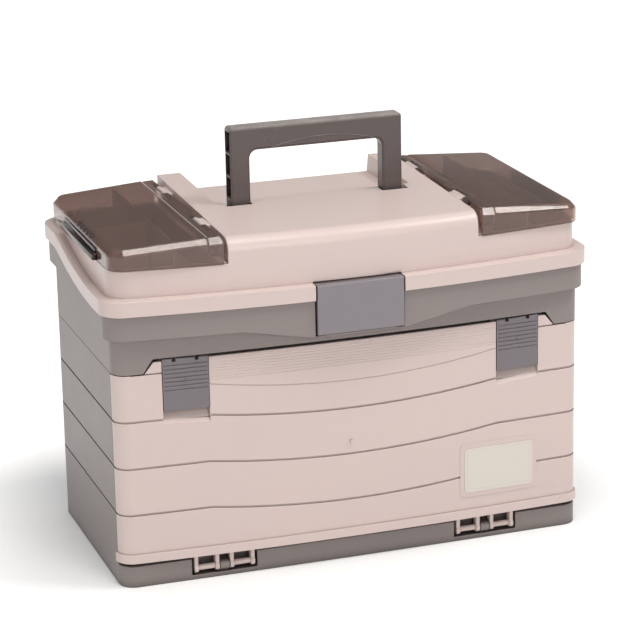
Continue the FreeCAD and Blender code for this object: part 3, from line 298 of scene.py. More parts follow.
def blankMaterial(name):
    material = bpy.data.materials.new(name)
    material.use_nodes = True
    tree = material.node_tree
    return material, tree, tree.nodes["Principled BSDF"]


def mouldedPlastic(name, look):
    material, tree, shader = blankMaterial(name)
    place = tree.nodes.new("ShaderNodeTexCoord").outputs["Object"]
    skin = placeGroup(tree, mouldedSkin, {
        "Vector": place, "Colour": look["colour"], "Flow Colour": look["flowColour"],
        "Flow Scale": look["flowScale"], "Flow": look["flow"], "Grain Scale": look["grainScale"],
        "Roughness": look["roughness"], "Roughness Spread": look["roughnessSpread"]})
    rub = placeGroup(tree, edgeRub, {"Vector": place, "Reach": look["rubReach"], "Amount": look["rub"]})
    # fine dust on what faces up; turned up high it paints a sheen of light on the top
    dustAndSheen = placeGroup(tree, settledDustAndSheen, {"Vector": place, "Amount": look["dustAndSheen"]})
    rubbed = mixColour(tree, rub.outputs["Mask"], skin.outputs["Colour"], look["rubColour"])
    withDustAndSheen = mixColour(tree, dustAndSheen.outputs["Mask"], rubbed, look["dustAndSheenColour"])
    # painted shade in grooves, gaps and recesses, mixed over the colour
    paintedCreviceShade = placeGroup(tree, paintedCreviceShadeGroup, {"Reach": look["paintedCreviceShadeReach"], "Amount": look["paintedCreviceShade"]})
    shaded = mixColour(tree, paintedCreviceShade.outputs["Mask"], withDustAndSheen, look["paintedCreviceShadeColour"])
    tree.links.new(shaded, shader.inputs["Base Color"])
    tree.links.new(skin.outputs["Roughness"], shader.inputs["Roughness"])
    bump = tree.nodes.new("ShaderNodeBump")
    bump.inputs["Strength"].default_value = look["grain"]
    bump.inputs["Distance"].default_value = look["grainDepth"]
    tree.links.new(skin.outputs["Height"], bump.inputs["Height"])
    tree.links.new(bump.outputs[0], shader.inputs["Normal"])
    shader.inputs["IOR"].default_value = look["ior"]
    shader.inputs["Specular IOR Level"].default_value = look["gloss"]
    return material


sandLook = {
    "colour": linear(216, 197, 190), "flowColour": linear(209, 191, 188), "flowScale": 7.0, "flow": 0.8,
    "grainScale": 1500.0, "grain": 0.12, "grainDepth": 0.05 * mm,
    "roughness": 0.31, "roughnessSpread": 0.08, "gloss": 0.5, "ior": 1.49,
    # painted shade in grooves and gaps: its reach, amount and colour
    "paintedCreviceShadeReach": 3.0 * mm, "paintedCreviceShade": 0.9, "paintedCreviceShadeColour": linear(88, 58, 46),
    "rubReach": 0.9 * mm, "rub": 0.25, "rubColour": linear(238, 226, 216),
    "dustAndSheen": 0.05, "dustAndSheenColour": linear(236, 230, 222),
}
graphiteLook = {
    "colour": linear(144, 133, 130), "flowColour": linear(137, 129, 127), "flowScale": 8.0, "flow": 0.8,
    "grainScale": 1300.0, "grain": 0.16, "grainDepth": 0.05 * mm,
    "roughness": 0.42, "roughnessSpread": 0.10, "gloss": 0.36, "ior": 1.49,
    # painted shade in grooves and gaps: its reach, amount and colour
    "paintedCreviceShadeReach": 3.5 * mm, "paintedCreviceShade": 0.95, "paintedCreviceShadeColour": linear(28, 22, 20),
    "rubReach": 0.9 * mm, "rub": 0.3, "rubColour": linear(168, 160, 156),
    "dustAndSheen": 0.06, "dustAndSheenColour": linear(190, 186, 180),
}
# The base: a slightly darker copy of the graphite colour, painted shade of the door's lip and the floor;
# its painted crevice shade reaches far, darkening it near the floor and under the lip.
shadedBaseLook = dict(graphiteLook, colour=linear(138, 128, 125), flowColour=linear(131, 123, 121),
                paintedCreviceShadeReach=16.0 * mm, paintedCreviceShade=0.8, paintedCreviceShadeColour=linear(48, 40, 38))
centreLook = dict(graphiteLook, colour=linear(137, 130, 134), flowColour=linear(131, 126, 133),
                  roughness=0.33)
latchLook = dict(graphiteLook, colour=linear(123, 116, 119), flowColour=linear(117, 111, 117),
                 roughness=0.33)
# The handle: the dust and sheen turned up high paints a lighter top, a painted sheen of the overhead light;
# its painted crevice shade reaches far.
handleLook = dict(graphiteLook, colour=linear(94, 83, 81), flowColour=linear(89, 79, 78), roughness=0.26,
                  paintedCreviceShadeReach=14.0 * mm, dustAndSheen=0.7, dustAndSheenColour=linear(205, 196, 190))
drawerLook = dict(sandLook, colour=linear(218, 204, 192), flowColour=linear(210, 198, 188), roughness=0.42)
dividerLook = dict(sandLook, colour=linear(222, 214, 204), flowColour=linear(214, 207, 198), roughness=0.48)
# Dividers under the covers: a lighter copy of the divider colour, painted light so that their tops read
# bright through the smoky cover; no painted crevice shade.
brightenedBayDividerLook = dict(dividerLook, colour=linear(236, 228, 216), flowColour=linear(228, 220, 208),
                      paintedCreviceShade=0.0)

sandPlastic = mouldedPlastic("sandPlastic", sandLook)
graphitePlastic = mouldedPlastic("graphitePlastic", graphiteLook)
shadedBasePlastic = mouldedPlastic("shadedBasePlastic", shadedBaseLook)
centrePlastic = mouldedPlastic("centrePlastic", centreLook)
latchPlastic = mouldedPlastic("latchPlastic", latchLook)
handlePlastic = mouldedPlastic("handlePlastic", handleLook)
drawerPlastic = mouldedPlastic("drawerPlastic", drawerLook)
dividerPlastic = mouldedPlastic("dividerPlastic", dividerLook)
brightenedBayDividerPlastic = mouldedPlastic("brightenedBayDividerPlastic", brightenedBayDividerLook)


smokeLook = {
    "tint": linear(188, 163, 154), "deepTint": linear(177, 153, 144), "flowScale": 5.0, "flow": 0.7,
    "clear": 0.86, "roughness": 0.05, "roughnessSpread": 0.04, "gloss": 0.7, "ior": 1.42,
    "waveScale": 22.0, "wave": 0.04, "waveDepth": 0.3 * mm,
}
denseSmokeLook = dict(smokeLook, tint=linear(104, 84, 76), deepTint=linear(88, 70, 63), roughness=0.1)


def smokyPlastic(name, look):
    # Clear brown styrene: light crosses it, gently wavy, with faint wipe marks in the gloss.
    material, tree, shader = blankMaterial(name)
    place = tree.nodes.new("ShaderNodeTexCoord").outputs["Object"]
    skin = placeGroup(tree, mouldedSkin, {
        "Vector": place, "Colour": look["tint"], "Flow Colour": look["deepTint"],
        "Flow Scale": look["flowScale"], "Flow": look["flow"], "Grain Scale": look["waveScale"],
        "Roughness": look["roughness"], "Roughness Spread": look["roughnessSpread"]})
    tree.links.new(skin.outputs["Colour"], shader.inputs["Base Color"])
    tree.links.new(skin.outputs["Roughness"], shader.inputs["Roughness"])
    bump = tree.nodes.new("ShaderNodeBump")
    bump.inputs["Strength"].default_value = look["wave"]
    bump.inputs["Distance"].default_value = look["waveDepth"]
    tree.links.new(skin.outputs["Height"], bump.inputs["Height"])
    tree.links.new(bump.outputs[0], shader.inputs["Normal"])
    shader.inputs["Transmission Weight"].default_value = look["clear"]
    shader.inputs["IOR"].default_value = look["ior"]
    shader.inputs["Specular IOR Level"].default_value = look["gloss"]
    return material


smoky = smokyPlastic("smokyPlastic", smokeLook)
denseSmoky = smokyPlastic("denseSmokyPlastic", denseSmokeLook)

steelLook = {
    "colour": linear(205, 205, 208), "dark": linear(150, 150, 154), "roughness": 0.24,
    "roughnessSpread": 0.2, "drawScale": 900.0, "drawStretch": (0.03, 0.2, 1.0),
}


def drawnSteel(look):
    material, tree, shader = blankMaterial("drawnSteel")
    place = tree.nodes.new("ShaderNodeTexCoord").outputs["Object"]
    stretched = tree.nodes.new("ShaderNodeMapping")
    stretched.inputs["Scale"].default_value = look["drawStretch"]
    tree.links.new(place, stretched.inputs["Vector"])
    lines = noiseNode(tree, stretched.outputs[0], look["drawScale"], detail=2.0)
    tree.links.new(mixColour(tree, lines, look["colour"], look["dark"]), shader.inputs["Base Color"])
    spread = mathNode(tree, "MULTIPLY", lines, look["roughnessSpread"])
    tree.links.new(mathNode(tree, "ADD", spread, look["roughness"]), shader.inputs["Roughness"])
    shader.inputs["Metallic"].default_value = 1.0
    return material


steel = drawnSteel(steelLook)
report("materials made")


# Pieces kept as the solids have them, with moulded edges

shellPieces = {
    "base_frame": ("case", shadedBasePlastic, "graphite", 0.7),
    "lower_frame": ("case", graphitePlastic, "graphite", 0.9),
    "middle_frame": ("case", graphitePlastic, "graphite", 0.9),
    "upper_frame": ("case", graphitePlastic, "graphite", 0.9),
    "lid": ("lid", sandPlastic, "sandstone", 0.6),
    "centre_latch": ("centre_latch", centrePlastic, "latch_grey", 0.6),
    "handle": ("handle", handlePlastic, "graphite", 0.5),
}
drawers = 4
for number in range(1, drawers + 1):
    shellPieces[f"drawer_{number}"] = (f"drawer_{number}", drawerPlastic, "drawer_sand", 0.5)
    shellPieces[f"drawer_{number}_dividers"] = (f"drawer_{number}", dividerPlastic, "divider", 0.3)
for nodeName in ("left_bay_tub", "right_bay_tub"):
    shellPieces[nodeName] = ("lid", sandPlastic, "sandstone", 0.4)
for nodeName in ("left_bay_dividers", "right_bay_divider"):
    shellPieces[nodeName] = ("lid", brightenedBayDividerPlastic, "divider", 0.3)
for nodeName, (body, material, slotName, edge) in shellPieces.items():
    piece = addPiece(cleanCopy(nodeName), f"{nodeName}_shell", body, material, [nodeName])
    softenEdges(piece, edge * mm)
report("shells softened")


# Bulk tray: its own solid, with the band's dip under the centre latch drawn up to the latch's foot

trayShape = {
    "edge": 0.6 * mm, "bandFront": -138.6 * mm, "bandEdge": 272.4 * mm,
    "dipLow": 252.0 * mm, "dipRaised": 259.6 * mm, "dipHalf": 131.0 * mm,
    "recessHalf": 54.5 * mm, "recessFrom": 256.0 * mm,
}


def buildTray(shape):
    bm = cleanCopy("top_tray")
    lift = (shape["dipRaised"] - shape["dipLow"]) / (shape["bandEdge"] - shape["dipLow"])
    for vert in bm.verts:
        x, y, z = vert.co
        inRecess = abs(x) < shape["recessHalf"] and z > shape["recessFrom"]
        inDip = y < shape["bandFront"] and abs(x) < shape["dipHalf"] and z < shape["bandEdge"]
        if inDip and not inRecess:
            vert.co.z += lift * (shape["bandEdge"] - z)
    piece = addPiece(bm, "top_tray_shell", "case", graphitePlastic, ["top_tray"])
    softenEdges(piece, shape["edge"])


buildTray(trayShape)
report("tray finished")


# Door: its own solid, with a free top edge under the tray, a groove across each ear and a gate mark

doorShape = {
    "edge": 0.16 * mm, "topFrom": 244.0 * mm, "topDrop": 2.6 * mm,
    "earLine": 233.8 * mm, "earLineHalf": 0.8 * mm, "earDepth": 1.2 * mm,
    "earInner": 211.0 * mm, "earOuter": 236.0 * mm,
    "ribMiddle": 245.9 * mm, "ribPitch": 3.1 * mm, "ribCount": 9, "ribHalf": 0.6 * mm, "ribFill": 0.28 * mm,
    "gate": (-7.2 * mm, 135.1 * mm), "gateRadius": 1.7 * mm, "gateTopRadius": 1.36 * mm,
    "gateRise": 0.5 * mm, "gateDepth": 2.0 * mm, "gateRound": 0.2 * mm,
}


def facesWithin(bm, low, high):
    # Front faces whose middle lies between two corners.
    chosen = []
    for face in bm.faces:
        middle = face.calc_center_median()
        if face.normal.y < -mostly and all(low[i] <= middle[i] <= high[i] for i in range(3)):
            chosen.append(face)
    return chosen


def fillDoorRibs(bm, shape):
    # The fine ribs' grooves are made shallower from their floors.
    floors = set()
    for index in range(shape["ribCount"]):
        level = shape["ribMiddle"] - index * shape["ribPitch"]
        for face in bm.faces:
            inRib = all(abs(vert.co.z - level) < shape["ribHalf"] for vert in face.verts)
            if inRib and face.normal.y < -squarely:
                floors.update(face.verts)
    bmesh.ops.translate(bm, verts=list(floors), vec=(0, -shape["ribFill"], 0))


def cutEarLines(bm, shape):
    # A groove across each ear, at any depth.
    beyond = 1.0
    low, high = shape["earLine"] - shape["earLineHalf"], shape["earLine"] + shape["earLineHalf"]
    for sign in sides.values():
        span = sorted((sign * shape["earInner"], sign * shape["earOuter"]))
        for level in (low, high):
            faces = [face for face in bm.faces if face.normal.y < -mostly
                     and any(span[0] < vert.co.x < span[1] for vert in face.verts)]
            splitFaces(bm, faces, (0, 0, level), (0, 0, 1))
        strip = facesWithin(bm, (span[0], -beyond, low), (span[1], beyond, high))
        sinkStrip(bm, strip, -shape["earDepth"])


def buildDoor(shape):
    bm = cleanCopy("front_door")
    fillDoorRibs(bm, shape)
    cutEarLines(bm, shape)
    top = max(vert.co.z for vert in bm.verts)
    for vert in bm.verts:
        if vert.co.z > shape["topFrom"]:
            share = (vert.co.z - shape["topFrom"]) / (top - shape["topFrom"])
            vert.co.z -= share * shape["topDrop"]
    piece = addPiece(bm, "front_door_shell", "door", sandPlastic, ["front_door"])
    softenEdges(piece, shape["edge"])


def buildGateMark(shape):
    # The small raised mark that the mould's gate leaves on the door.
    x, z = shape["gate"]
    bm = bmesh.new()
    bmesh.ops.create_cone(bm, segments=20, radius1=shape["gateRadius"], radius2=shape["gateTopRadius"],
                          depth=shape["gateDepth"], cap_ends=True)
    roundOff(bm, [edge for edge in bm.edges if edge.calc_face_angle() > rimAngle], shape["gateRound"])
    bmesh.ops.rotate(bm, verts=bm.verts, cent=(0, 0, 0), matrix=alongY)
    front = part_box("front_door")[0][1]
    bmesh.ops.translate(bm, verts=bm.verts, vec=(x, front + shape["gateRise"], z))
    addPiece(bm, "door_gate_mark", "door", sandPlastic)


buildDoor(doorShape)
buildGateMark(doorShape)
report("door finished")


# Label plate: plain, with a thin sunk frame line

labelShape = {"border": 3.0 * mm, "line": 0.5 * mm, "depth": 0.12 * mm, "edge": 0.08 * mm}


def buildLabel(shape):
    bm = cleanCopy("label_plate")
    front = [face for face in bm.faces if face.normal.y < -squarely]
    bmesh.ops.inset_region(bm, faces=front, thickness=shape["border"], use_even_offset=True)
    line = bmesh.ops.inset_region(bm, faces=front, thickness=shape["line"], use_even_offset=True)
    sinkStrip(bm, line["faces"], -shape["depth"])
    piece = addPiece(bm, "label_plate_shell", "door", dividerPlastic, ["label_plate"])
    softenEdges(piece, shape["edge"])


buildLabel(labelShape)
report("label finished")


# Door latches: fine cross ribs on the upper part, a plain foot, two notches from the solid

latchShape = {
    "edge": 0.35 * mm, "grooves": 7, "topGroove": 241.6 * mm, "pitch": 4.5 * mm, "grooveHeight": 0.9 * mm,
    "grooveDepth": 0.7 * mm, "sideMargin": 3.9 * mm, "skinDepth": 2.2 * mm,
    "topFrom": 243.5 * mm, "topRise": 2.0 * mm, "plateDepth": 3.6 * mm,
    "gateDrop": 22.0 * mm, "gateRadius": 1.3 * mm, "gateRise": 0.4 * mm, "gateSunk": 0.3 * mm,
}


def raiseLatchTop(bm, shape, low, high):
    # The top rises to the tray's edge, sloping to the front so that it clears the tray as it turns.
    for vert in bm.verts:
        if vert.co.z > shape["topFrom"]:
            upward = (vert.co.z - shape["topFrom"]) / (high[2] - shape["topFrom"])
            inward = min(1.0, (vert.co.y - low[1]) / shape["plateDepth"])
            vert.co.z += upward * inward * shape["topRise"]


def buildDoorLatch(side, shape):
    nodeName = f"door_latch_{side}"
    low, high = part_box(nodeName)
    bm = cleanCopy(nodeName)
    raiseLatchTop(bm, shape, low, high)
    skin = low[1] + shape["skinDepth"]
    inner, outer = low[0] + shape["sideMargin"], high[0] - shape["sideMargin"]
    bands = []
    for index in range(shape["grooves"]):
        top = shape["topGroove"] - index * shape["pitch"]
        bands.append((top - shape["grooveHeight"], top))
    cuts = [((x, 0, 0), (1, 0, 0)) for x in (inner, outer)]
    cuts += [((0, 0, level), (0, 0, 1)) for band in bands for level in band]
    for place, normal in cuts:
        front = [face for face in bm.faces
                 if face.normal.y < -mostly and face.calc_center_median().y < skin]
        splitFaces(bm, front, place, normal)
    for bandLow, bandHigh in bands:
        strip = facesWithin(bm, (inner, low[1] - mm, bandLow), (outer, skin, bandHigh))
        sinkStrip(bm, strip, -shape["grooveDepth"])
    piece = addPiece(bm, f"{nodeName}_shell", nodeName, latchPlastic, [nodeName])
    softenEdges(piece, shape["edge"])
    place = ((low[0] + high[0]) / 2, low[1] + shape["gateSunk"], high[2] - shape["gateDrop"])
    bm = bmesh.new()
    bmesh.ops.create_uvsphere(bm, u_segments=16, v_segments=8, radius=shape["gateRadius"])
    bmesh.ops.scale(bm, verts=bm.verts, vec=(1, shape["gateRise"] / shape["gateRadius"], 1))
    bmesh.ops.translate(bm, verts=bm.verts, vec=place)
    addPiece(bm, f"{nodeName}_gate_mark", nodeName, latchPlastic)


for side in sides:
    buildDoorLatch(side, latchShape)
report("door latches finished")


# Handle's arc line: a fine raised bead over the finger place

arcShape = {
    "centre": (8.0 * mm, 226.0 * mm), "radius": 214.5 * mm, "halfTurn": 15.8,
    "bead": 0.55 * mm, "sunk": 0.15 * mm, "steps": 40,
}


def buildHandleArc(shape):
    bm = bmesh.new()
    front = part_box("handle")[0][1]
    x, z = shape["centre"]
    centre = Vector((x, front + shape["sunk"], z))
    bmesh.ops.create_circle(bm, segments=8, radius=shape["bead"], cap_ends=False)
    bmesh.ops.rotate(bm, verts=bm.verts, cent=(0, 0, 0), matrix=Matrix.Rotation(math.radians(90), 3, "Y"))
    bmesh.ops.translate(bm, verts=bm.verts, vec=centre + Vector((0, 0, shape["radius"])))
    turn = math.radians(shape["halfTurn"])
    bmesh.ops.rotate(bm, verts=bm.verts, cent=centre, matrix=Matrix.Rotation(-turn, 3, "Y"))
    bmesh.ops.spin(bm, geom=bm.verts[:] + bm.edges[:], cent=centre, axis=(0, 1, 0), angle=2 * turn,
                   steps=shape["steps"], use_merge=False, use_duplicate=False)
    bmesh.ops.holes_fill(bm, edges=[edge for edge in bm.edges if edge.is_boundary], sides=8)
    bmesh.ops.recalc_face_normals(bm, faces=bm.faces)
    addPiece(bm, "handle_arc_line", "handle", handlePlastic)


buildHandleArc(arcShape)
report("handle finished")


# Smoky covers: a slanted roof with a broad chamfer all round, hinge windows, a ledge, eyes and a pull tab

coverShape = {
    "hingeSide": 142.0 * mm, "outerSide": 259.45 * mm, "front": 128.25 * mm, "back": 128.25 * mm,
    "bow": 17.3 * mm, "bowFrom": -120.0 * mm, "low": 345.3 * mm, "top": 374.5 * mm, "fall": 8.0 * mm,
    "cornerRound": 15.0 * mm, "cornerSteps": 9, "edge": 0.3 * mm,
    "chamfer": 6.3 * mm, "soft": 1.3 * mm, "softAngles": (28, 62), "wall": 2.0 * mm,
    "slices": [x * mm for x in (150.6, 156.9, 158.1, 172, 188, 204, 220)],
    "ledge": 157.5 * mm, "ledgeStep": 0.9 * mm, "hingeEdge": 0.3, "hingeSpan": 6.5 * mm,
    "eyes": (78.0 * mm, -64.5 * mm), "windowHalf": 17.0 * mm, "windowSide": 150.6 * mm,
    "axis": (145.5 * mm, 370.0 * mm), "knuckleRadius": 2.9 * mm,
    "knuckleFrom": 15.9 * mm, "knuckleTo": 31.0 * mm,
    "blockFrom": (144.5 * mm, -135.6 * mm, 353.0 * mm), "blockTo": (157.0 * mm, -126.0 * mm, 370.5 * mm),
    "blockRound": 1.0 * mm,
}
tabShape = {
    "out": 264.9 * mm, "from": -76.0 * mm, "to": 62.5 * mm,
    "low": 345.4 * mm, "barTop": 352.6 * mm, "round": 1.6 * mm,
    "lipEnds": 3.0 * mm, "lipLow": 351.6 * mm, "lipHigh": 358.2 * mm, "lip": 2.6 * mm, "lipRound": 0.8 * mm,
    "knobRadius": 3.1 * mm, "knobFrom": 1.0 * mm, "knobDrop": 2.0 * mm,
    "ribs": [y * mm for y in (12, -1, -14, -27, -40)], "ribHalf": 1.1 * mm, "ribFrom": 251.0 * mm,
    "ribLow": 358.6 * mm, "ribHigh": 363.6 * mm, "ribRound": 0.5 * mm,
}
pinShape = {
    "place": (149.0 * mm, 371.2 * mm), "radius": 1.1 * mm, "length": 30.8 * mm, "endRound": 0.44 * mm,
}


def roundedBlock(bm, low, high, radius, segments=3):
    # A box between two corners with all its edges rounded, added to a bmesh.
    made = bmesh.ops.create_cube(bm, size=1)["verts"]
    bmesh.ops.scale(bm, verts=made, vec=[high[i] - low[i] for i in range(3)])
    bmesh.ops.translate(bm, verts=made, vec=[(high[i] + low[i]) / 2 for i in range(3)])
    roundOff(bm, list({edge for vert in made for edge in vert.link_edges}), radius, segments)


def rodAlongY(bm, radius, length, place):
    made = bmesh.ops.create_cone(bm, segments=20, radius1=radius, radius2=radius, depth=length,
                                 cap_ends=True)["verts"]
    bmesh.ops.rotate(bm, verts=made, cent=(0, 0, 0), matrix=alongY)
    bmesh.ops.translate(bm, verts=made, vec=place)


def coverRoof(shape, x):
    share = (x - shape["hingeSide"]) / (shape["outerSide"] - shape["hingeSide"])
    return shape["top"] - shape["fall"] * share


def coverBlock(shape):
    # The cover's outer body: two rounded corners, cuts for the ledge and the windows, bow and sloping roof.
    bm = bmesh.new()
    width, depth = shape["outerSide"] - shape["hingeSide"], shape["front"] + shape["back"]
    height = shape["top"] - shape["low"]
    middle = shape["low"] + height / 2
    bmesh.ops.create_cube(bm, size=1)
    bmesh.ops.scale(bm, verts=bm.verts, vec=(width, depth, height))
    bmesh.ops.translate(bm, verts=bm.verts, vec=(shape["hingeSide"] + width / 2, 0, middle))
    corners = [edge for edge in bm.edges
               if all(vert.co.x > shape["hingeSide"] + width / 2 for vert in edge.verts)
               and abs(edge.verts[0].co.z - edge.verts[1].co.z) > height / 2]
    roundOff(bm, corners, shape["cornerRound"], shape["cornerSteps"])
    for x in shape["slices"]:
        splitFaces(bm, list(bm.faces), (x, 0, 0), (1, 0, 0))
    for eye in shape["eyes"]:
        for y in (eye - shape["windowHalf"], eye + shape["windowHalf"]):
            near = [face for face in bm.faces if face.calc_center_median().x < shape["windowSide"]]
            splitFaces(bm, near, (0, y, 0), (0, 1, 0))
    for vert in bm.verts:
        if vert.co.y < shape["bowFrom"]:
            share = min(1.0, -vert.co.y / shape["front"])
            vert.co.y -= share * shape["bow"] * (1 - (vert.co.x / shape["outerSide"]) ** 2)
        if vert.co.z > middle:
            vert.co.z = coverRoof(shape, vert.co.x)
    bm.normal_update()
    return bm, middle


def chamferCover(bm, shape, middle):
    # A broad chamfer round the roof, softened along its edges, with the ledge sunk beside the hinge.
    rim = [edge for edge in bm.edges if len(edge.link_faces) == 2
           and all(vert.co.z > middle for vert in edge.verts)
           and sorted(face.normal.z > mostly for face in edge.link_faces) == [False, True]]
    roundOff(bm, rim, shape["chamfer"], segments=1)
    bm.normal_update()
    for vert in bm.verts:
        if vert.co.x < shape["ledge"] and vert.co.z > middle:
            vert.co.z -= shape["ledgeStep"]
        past = vert.co.x - shape["hingeSide"]
        if past < shape["hingeSpan"]:
            vert.co.x = shape["hingeSide"] + past * shape["hingeEdge"]
    bm.normal_update()
    least, most = (math.radians(angle) for angle in shape["softAngles"])
    soft = [edge for edge in bm.edges if len(edge.link_faces) == 2
            and least < edge.calc_face_angle(0) < most
            and max(vert.co.z for vert in edge.verts) > middle
            and min(vert.co.x for vert in edge.verts) > shape["ledge"]]
    roundOff(bm, soft, shape["soft"])
    bm.normal_update()


def coverShell(shape):
    # The body opened below, along the hinge and at the windows, and given its wall.
    bm, middle = coverBlock(shape)
    chamferCover(bm, shape, middle)
    gone = []
    for face in bm.faces:
        place = face.calc_center_median()
        atEye = any(abs(place.y - eye) < shape["windowHalf"] for eye in shape["eyes"])
        upper = place.z > middle and abs(face.normal.y) < squarely
        window = place.x < shape["windowSide"] and atEye and upper
        atHinge = place.x < shape["hingeSide"] + mm and place.y < shape["back"]
        hingeWall = face.normal.x < -squarely and atHinge
        if face.normal.z < -squarely or hingeWall or window:
            gone.append(face)
    bmesh.ops.delete(bm, geom=gone, context="FACES")
    bmesh.ops.solidify(bm, geom=bm.faces[:], thickness=shape["wall"])
    return bm


def coverFittings(bm, shape):
    # Hinge eyes and the stop block inside the front corner.
    x, z = shape["axis"]
    for eye in shape["eyes"]:
        for end in (-1, 1):
            near, away = eye + end * shape["knuckleFrom"], eye + end * shape["knuckleTo"]
            rodAlongY(bm, shape["knuckleRadius"], abs(away - near), (x, (near + away) / 2, z))
    roundedBlock(bm, shape["blockFrom"], shape["blockTo"], shape["blockRound"])


def pullTab(shape, inner):
    # The dense bar with its lip and catch end, and the short stiffening ribs behind it.
    bm = bmesh.new()
    out, barTop = shape["out"], shape["barTop"]
    roundedBlock(bm, (inner, shape["from"], shape["low"]), (out, shape["to"], barTop), shape["round"])
    lipFrom, lipTo = shape["from"] + shape["lipEnds"], shape["to"] - shape["lipEnds"]
    roundedBlock(bm, (inner, lipFrom, shape["lipLow"]), (inner + shape["lip"], lipTo, shape["lipHigh"]),
                 shape["lipRound"])
    radius = shape["knobRadius"]
    knob = bmesh.ops.create_uvsphere(bm, u_segments=20, v_segments=12, radius=radius)["verts"]
    place = (out - radius, shape["from"] + shape["knobFrom"], barTop - shape["knobDrop"])
    bmesh.ops.translate(bm, verts=knob, vec=place)
    for y in shape["ribs"]:
        roundedBlock(bm, (shape["ribFrom"], y - shape["ribHalf"], shape["ribLow"]),
                     (inner, y + shape["ribHalf"], shape["ribHigh"]), shape["ribRound"], 2)
    return bm


def eyePins(shape, eyes):
    # The steel pins that show beside the lid's lugs, one in each window.
    bm = bmesh.new()
    x, z = shape["place"]
    for eye in eyes:
        rodAlongY(bm, shape["radius"], shape["length"], (x, eye, z))
    roundOff(bm, [edge for edge in bm.edges if edge.calc_face_angle() > rimAngle], shape["endRound"])
    return bm


def toSide(bm, sign):
    # A form made on the right is mirrored over for the left.
    if sign < 0:
        bmesh.ops.scale(bm, verts=bm.verts, vec=(-1, 1, 1))
        bmesh.ops.reverse_faces(bm, faces=bm.faces)
    return bm


def buildCover(side, sign, shape):
    body = f"{side}_cover"
    bm = coverShell(shape)
    coverFittings(bm, shape)
    piece = addPiece(toSide(bm, sign), f"{side}_cover_shell", body, smoky, [body])
    softenEdges(piece, shape["edge"], angle=shape["softAngles"][1])
    tab = toSide(pullTab(tabShape, shape["outerSide"] - shape["wall"] / 2), sign)
    addPiece(tab, f"{side}_cover_tab", body, denseSmoky)
    pins = toSide(eyePins(pinShape, shape["eyes"]), sign)
    addPiece(pins, f"{side}_eye_pins", "lid", steel)


for side, sign in sides.items():
    buildCover(side, sign, coverShape)
report("smoky covers finished")

steelNodes = ("lid_hinge_rod_left", "lid_hinge_rod_right", "handle_pins", "left_cover_pins",
              "right_cover_pins")
for nodeName in steelNodes:
    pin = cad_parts[nodeName]
    pin.data.materials.clear()
    pin.data.materials.append(steel)
report("pins finished")


# Floor, light and camera

studio = {
    "floorSize": 44.0, "floorColour": (0.86, 0.86, 0.86, 1.0), "floorRoughness": 0.9,
    "nearGlow": 0.12, "farGlow": 0.6, "glowStart": 0.24, "glowEnd": 0.6,
    "horizonStrength": 0.12, "zenithStrength": 0.6, "horizonUp": 0.35, "zenithUp": 0.85,
    "whiteBelow": 0.13, "whiteEnds": 0.2, "lampTarget": (0, 0, 0.2),
    "lamps": (  # name, place, size, watts, colour
        ("leftTopLamp", (-0.05, -0.85, 2.6), 0.8, 22.0, (1.0, 0.985, 0.955)),
        ("rightTopLamp", (1.55, -0.85, 2.6), 0.8, 26.0, (1.0, 0.985, 0.955)),
        ("frontLamp", (0.3, -3.2, 1.3), 1.6, 26.0, (1.0, 0.98, 0.97)),
        ("leftLamp", (-3.0, -0.9, 0.8), 1.4, 19.0, (1.0, 0.985, 0.97)),
    ),
}


def seenRays(tree):
    # One for rays from the camera, in gloss and through clear plastic, which may see a white backdrop.
    rays = tree.nodes.new("ShaderNodeLightPath")
    seen = mathNode(tree, "MAXIMUM", rays.outputs["Is Camera Ray"], rays.outputs["Is Glossy Ray"])
    return mathNode(tree, "MAXIMUM", seen, rays.outputs["Is Transmission Ray"])


def buildFloor():
    bm = bmesh.new()
    bmesh.ops.create_grid(bm, x_segments=1, y_segments=1, size=studio["floorSize"] / 2)
    mesh = bpy.data.meshes.new("studioFloor")
    bm.to_mesh(mesh)
    bm.free()
    floor = bpy.data.objects.new("studioFloor", mesh)
    bpy.context.scene.collection.objects.link(floor)
    material, tree, shader = blankMaterial("paleFloor")
    shader.inputs["Base Color"].default_value = studio["floorColour"]
    shader.inputs["Roughness"].default_value = studio["floorRoughness"]
    shader.inputs["Specular IOR Level"].default_value = 0.0
    shader.inputs["Emission Color"].default_value = white
    place = tree.nodes.new("ShaderNodeTexCoord").outputs["Object"]
    away = tree.nodes.new("ShaderNodeVectorMath")
    away.operation = "LENGTH"
    tree.links.new(place, away.inputs[0])
    glow = rangeNode(tree, away.outputs["Value"], studio["glowStart"], studio["glowEnd"],
                     studio["nearGlow"], studio["farGlow"], smooth=True)
    shown = mathNode(tree, "MULTIPLY", seenRays(tree), glow)
    tree.links.new(shown, shader.inputs["Emission Strength"])
    mesh.materials.append(material)


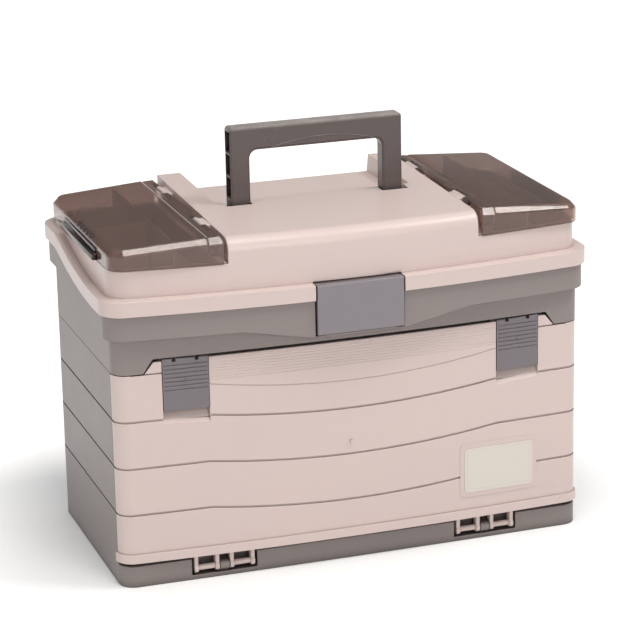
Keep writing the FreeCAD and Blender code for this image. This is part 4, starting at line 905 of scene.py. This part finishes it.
def buildWorld():
    world = bpy.data.worlds.new("studioWorld")
    world.use_nodes = True
    bpy.context.scene.world = world
    tree = world.node_tree
    split = tree.nodes.new("ShaderNodeSeparateXYZ")
    tree.links.new(tree.nodes.new("ShaderNodeTexCoord").outputs["Generated"], split.inputs[0])
    climb = rangeNode(tree, split.outputs["Z"], studio["horizonUp"], studio["zenithUp"],
                      studio["horizonStrength"], studio["zenithStrength"], smooth=True)
    backdrop = rangeNode(tree, split.outputs["Z"], studio["whiteBelow"], studio["whiteEnds"], 1.0, 0.0)
    shown = mathNode(tree, "MULTIPLY", seenRays(tree), backdrop)  # white where the floor meets the sky
    strength = mathNode(tree, "MAXIMUM", shown, climb)
    tree.links.new(strength, tree.nodes["Background"].inputs["Strength"])
    tree.nodes["Background"].inputs["Color"].default_value = white


def buildLamps():
    target = Vector(studio["lampTarget"])
    for name, place, size, power, colour in studio["lamps"]:
        lamp = bpy.data.lights.new(name, "AREA")
        lamp.shape = "SQUARE"
        lamp.size = size
        lamp.energy = power
        lamp.color = colour
        thing = bpy.data.objects.new(name, lamp)
        thing.location = place
        thing.rotation_euler = (target - Vector(place)).to_track_quat("-Z", "Y").to_euler()
        bpy.context.scene.collection.objects.link(thing)


viewpoint = {
    "place": (-0.8815, -2.6428, 1.0858), "yaw": -18.54, "pitch": 17.28, "roll": -1.15,
    "focalPixels": 2658.0, "centreX": 318.6, "centreY": 328.5, "frame": 640.0, "sensor": 36.0,
    "nearest": 0.05,
}


def buildCamera():
    yaw, pitch, roll = (math.radians(viewpoint[key]) for key in ("yaw", "pitch", "roll"))
    forward = Vector((-math.sin(yaw) * math.cos(pitch), math.cos(yaw) * math.cos(pitch), -math.sin(pitch)))
    level = Vector((math.cos(yaw), math.sin(yaw), 0))
    upright = level.cross(forward)
    right = math.cos(roll) * level + math.sin(roll) * upright
    up = -math.sin(roll) * level + math.cos(roll) * upright
    camera = bpy.data.cameras.new("photoCamera")
    camera.sensor_width = viewpoint["sensor"]
    camera.lens = viewpoint["focalPixels"] / viewpoint["frame"] * viewpoint["sensor"]
    camera.shift_x = (viewpoint["frame"] / 2 - viewpoint["centreX"]) / viewpoint["frame"]
    camera.shift_y = (viewpoint["centreY"] - viewpoint["frame"] / 2) / viewpoint["frame"]
    camera.clip_start = viewpoint["nearest"]
    thing = bpy.data.objects.new("photoCamera", camera)
    turn = Matrix((right, up, -forward)).transposed().to_4x4()
    thing.matrix_world = Matrix.Translation(viewpoint["place"]) @ turn
    bpy.context.scene.collection.objects.link(thing)
    bpy.context.scene.camera = thing


buildFloor()
buildWorld()
buildLamps()
buildCamera()
bpy.context.scene.view_settings.view_transform = "Standard"
report("floor, light and camera placed")
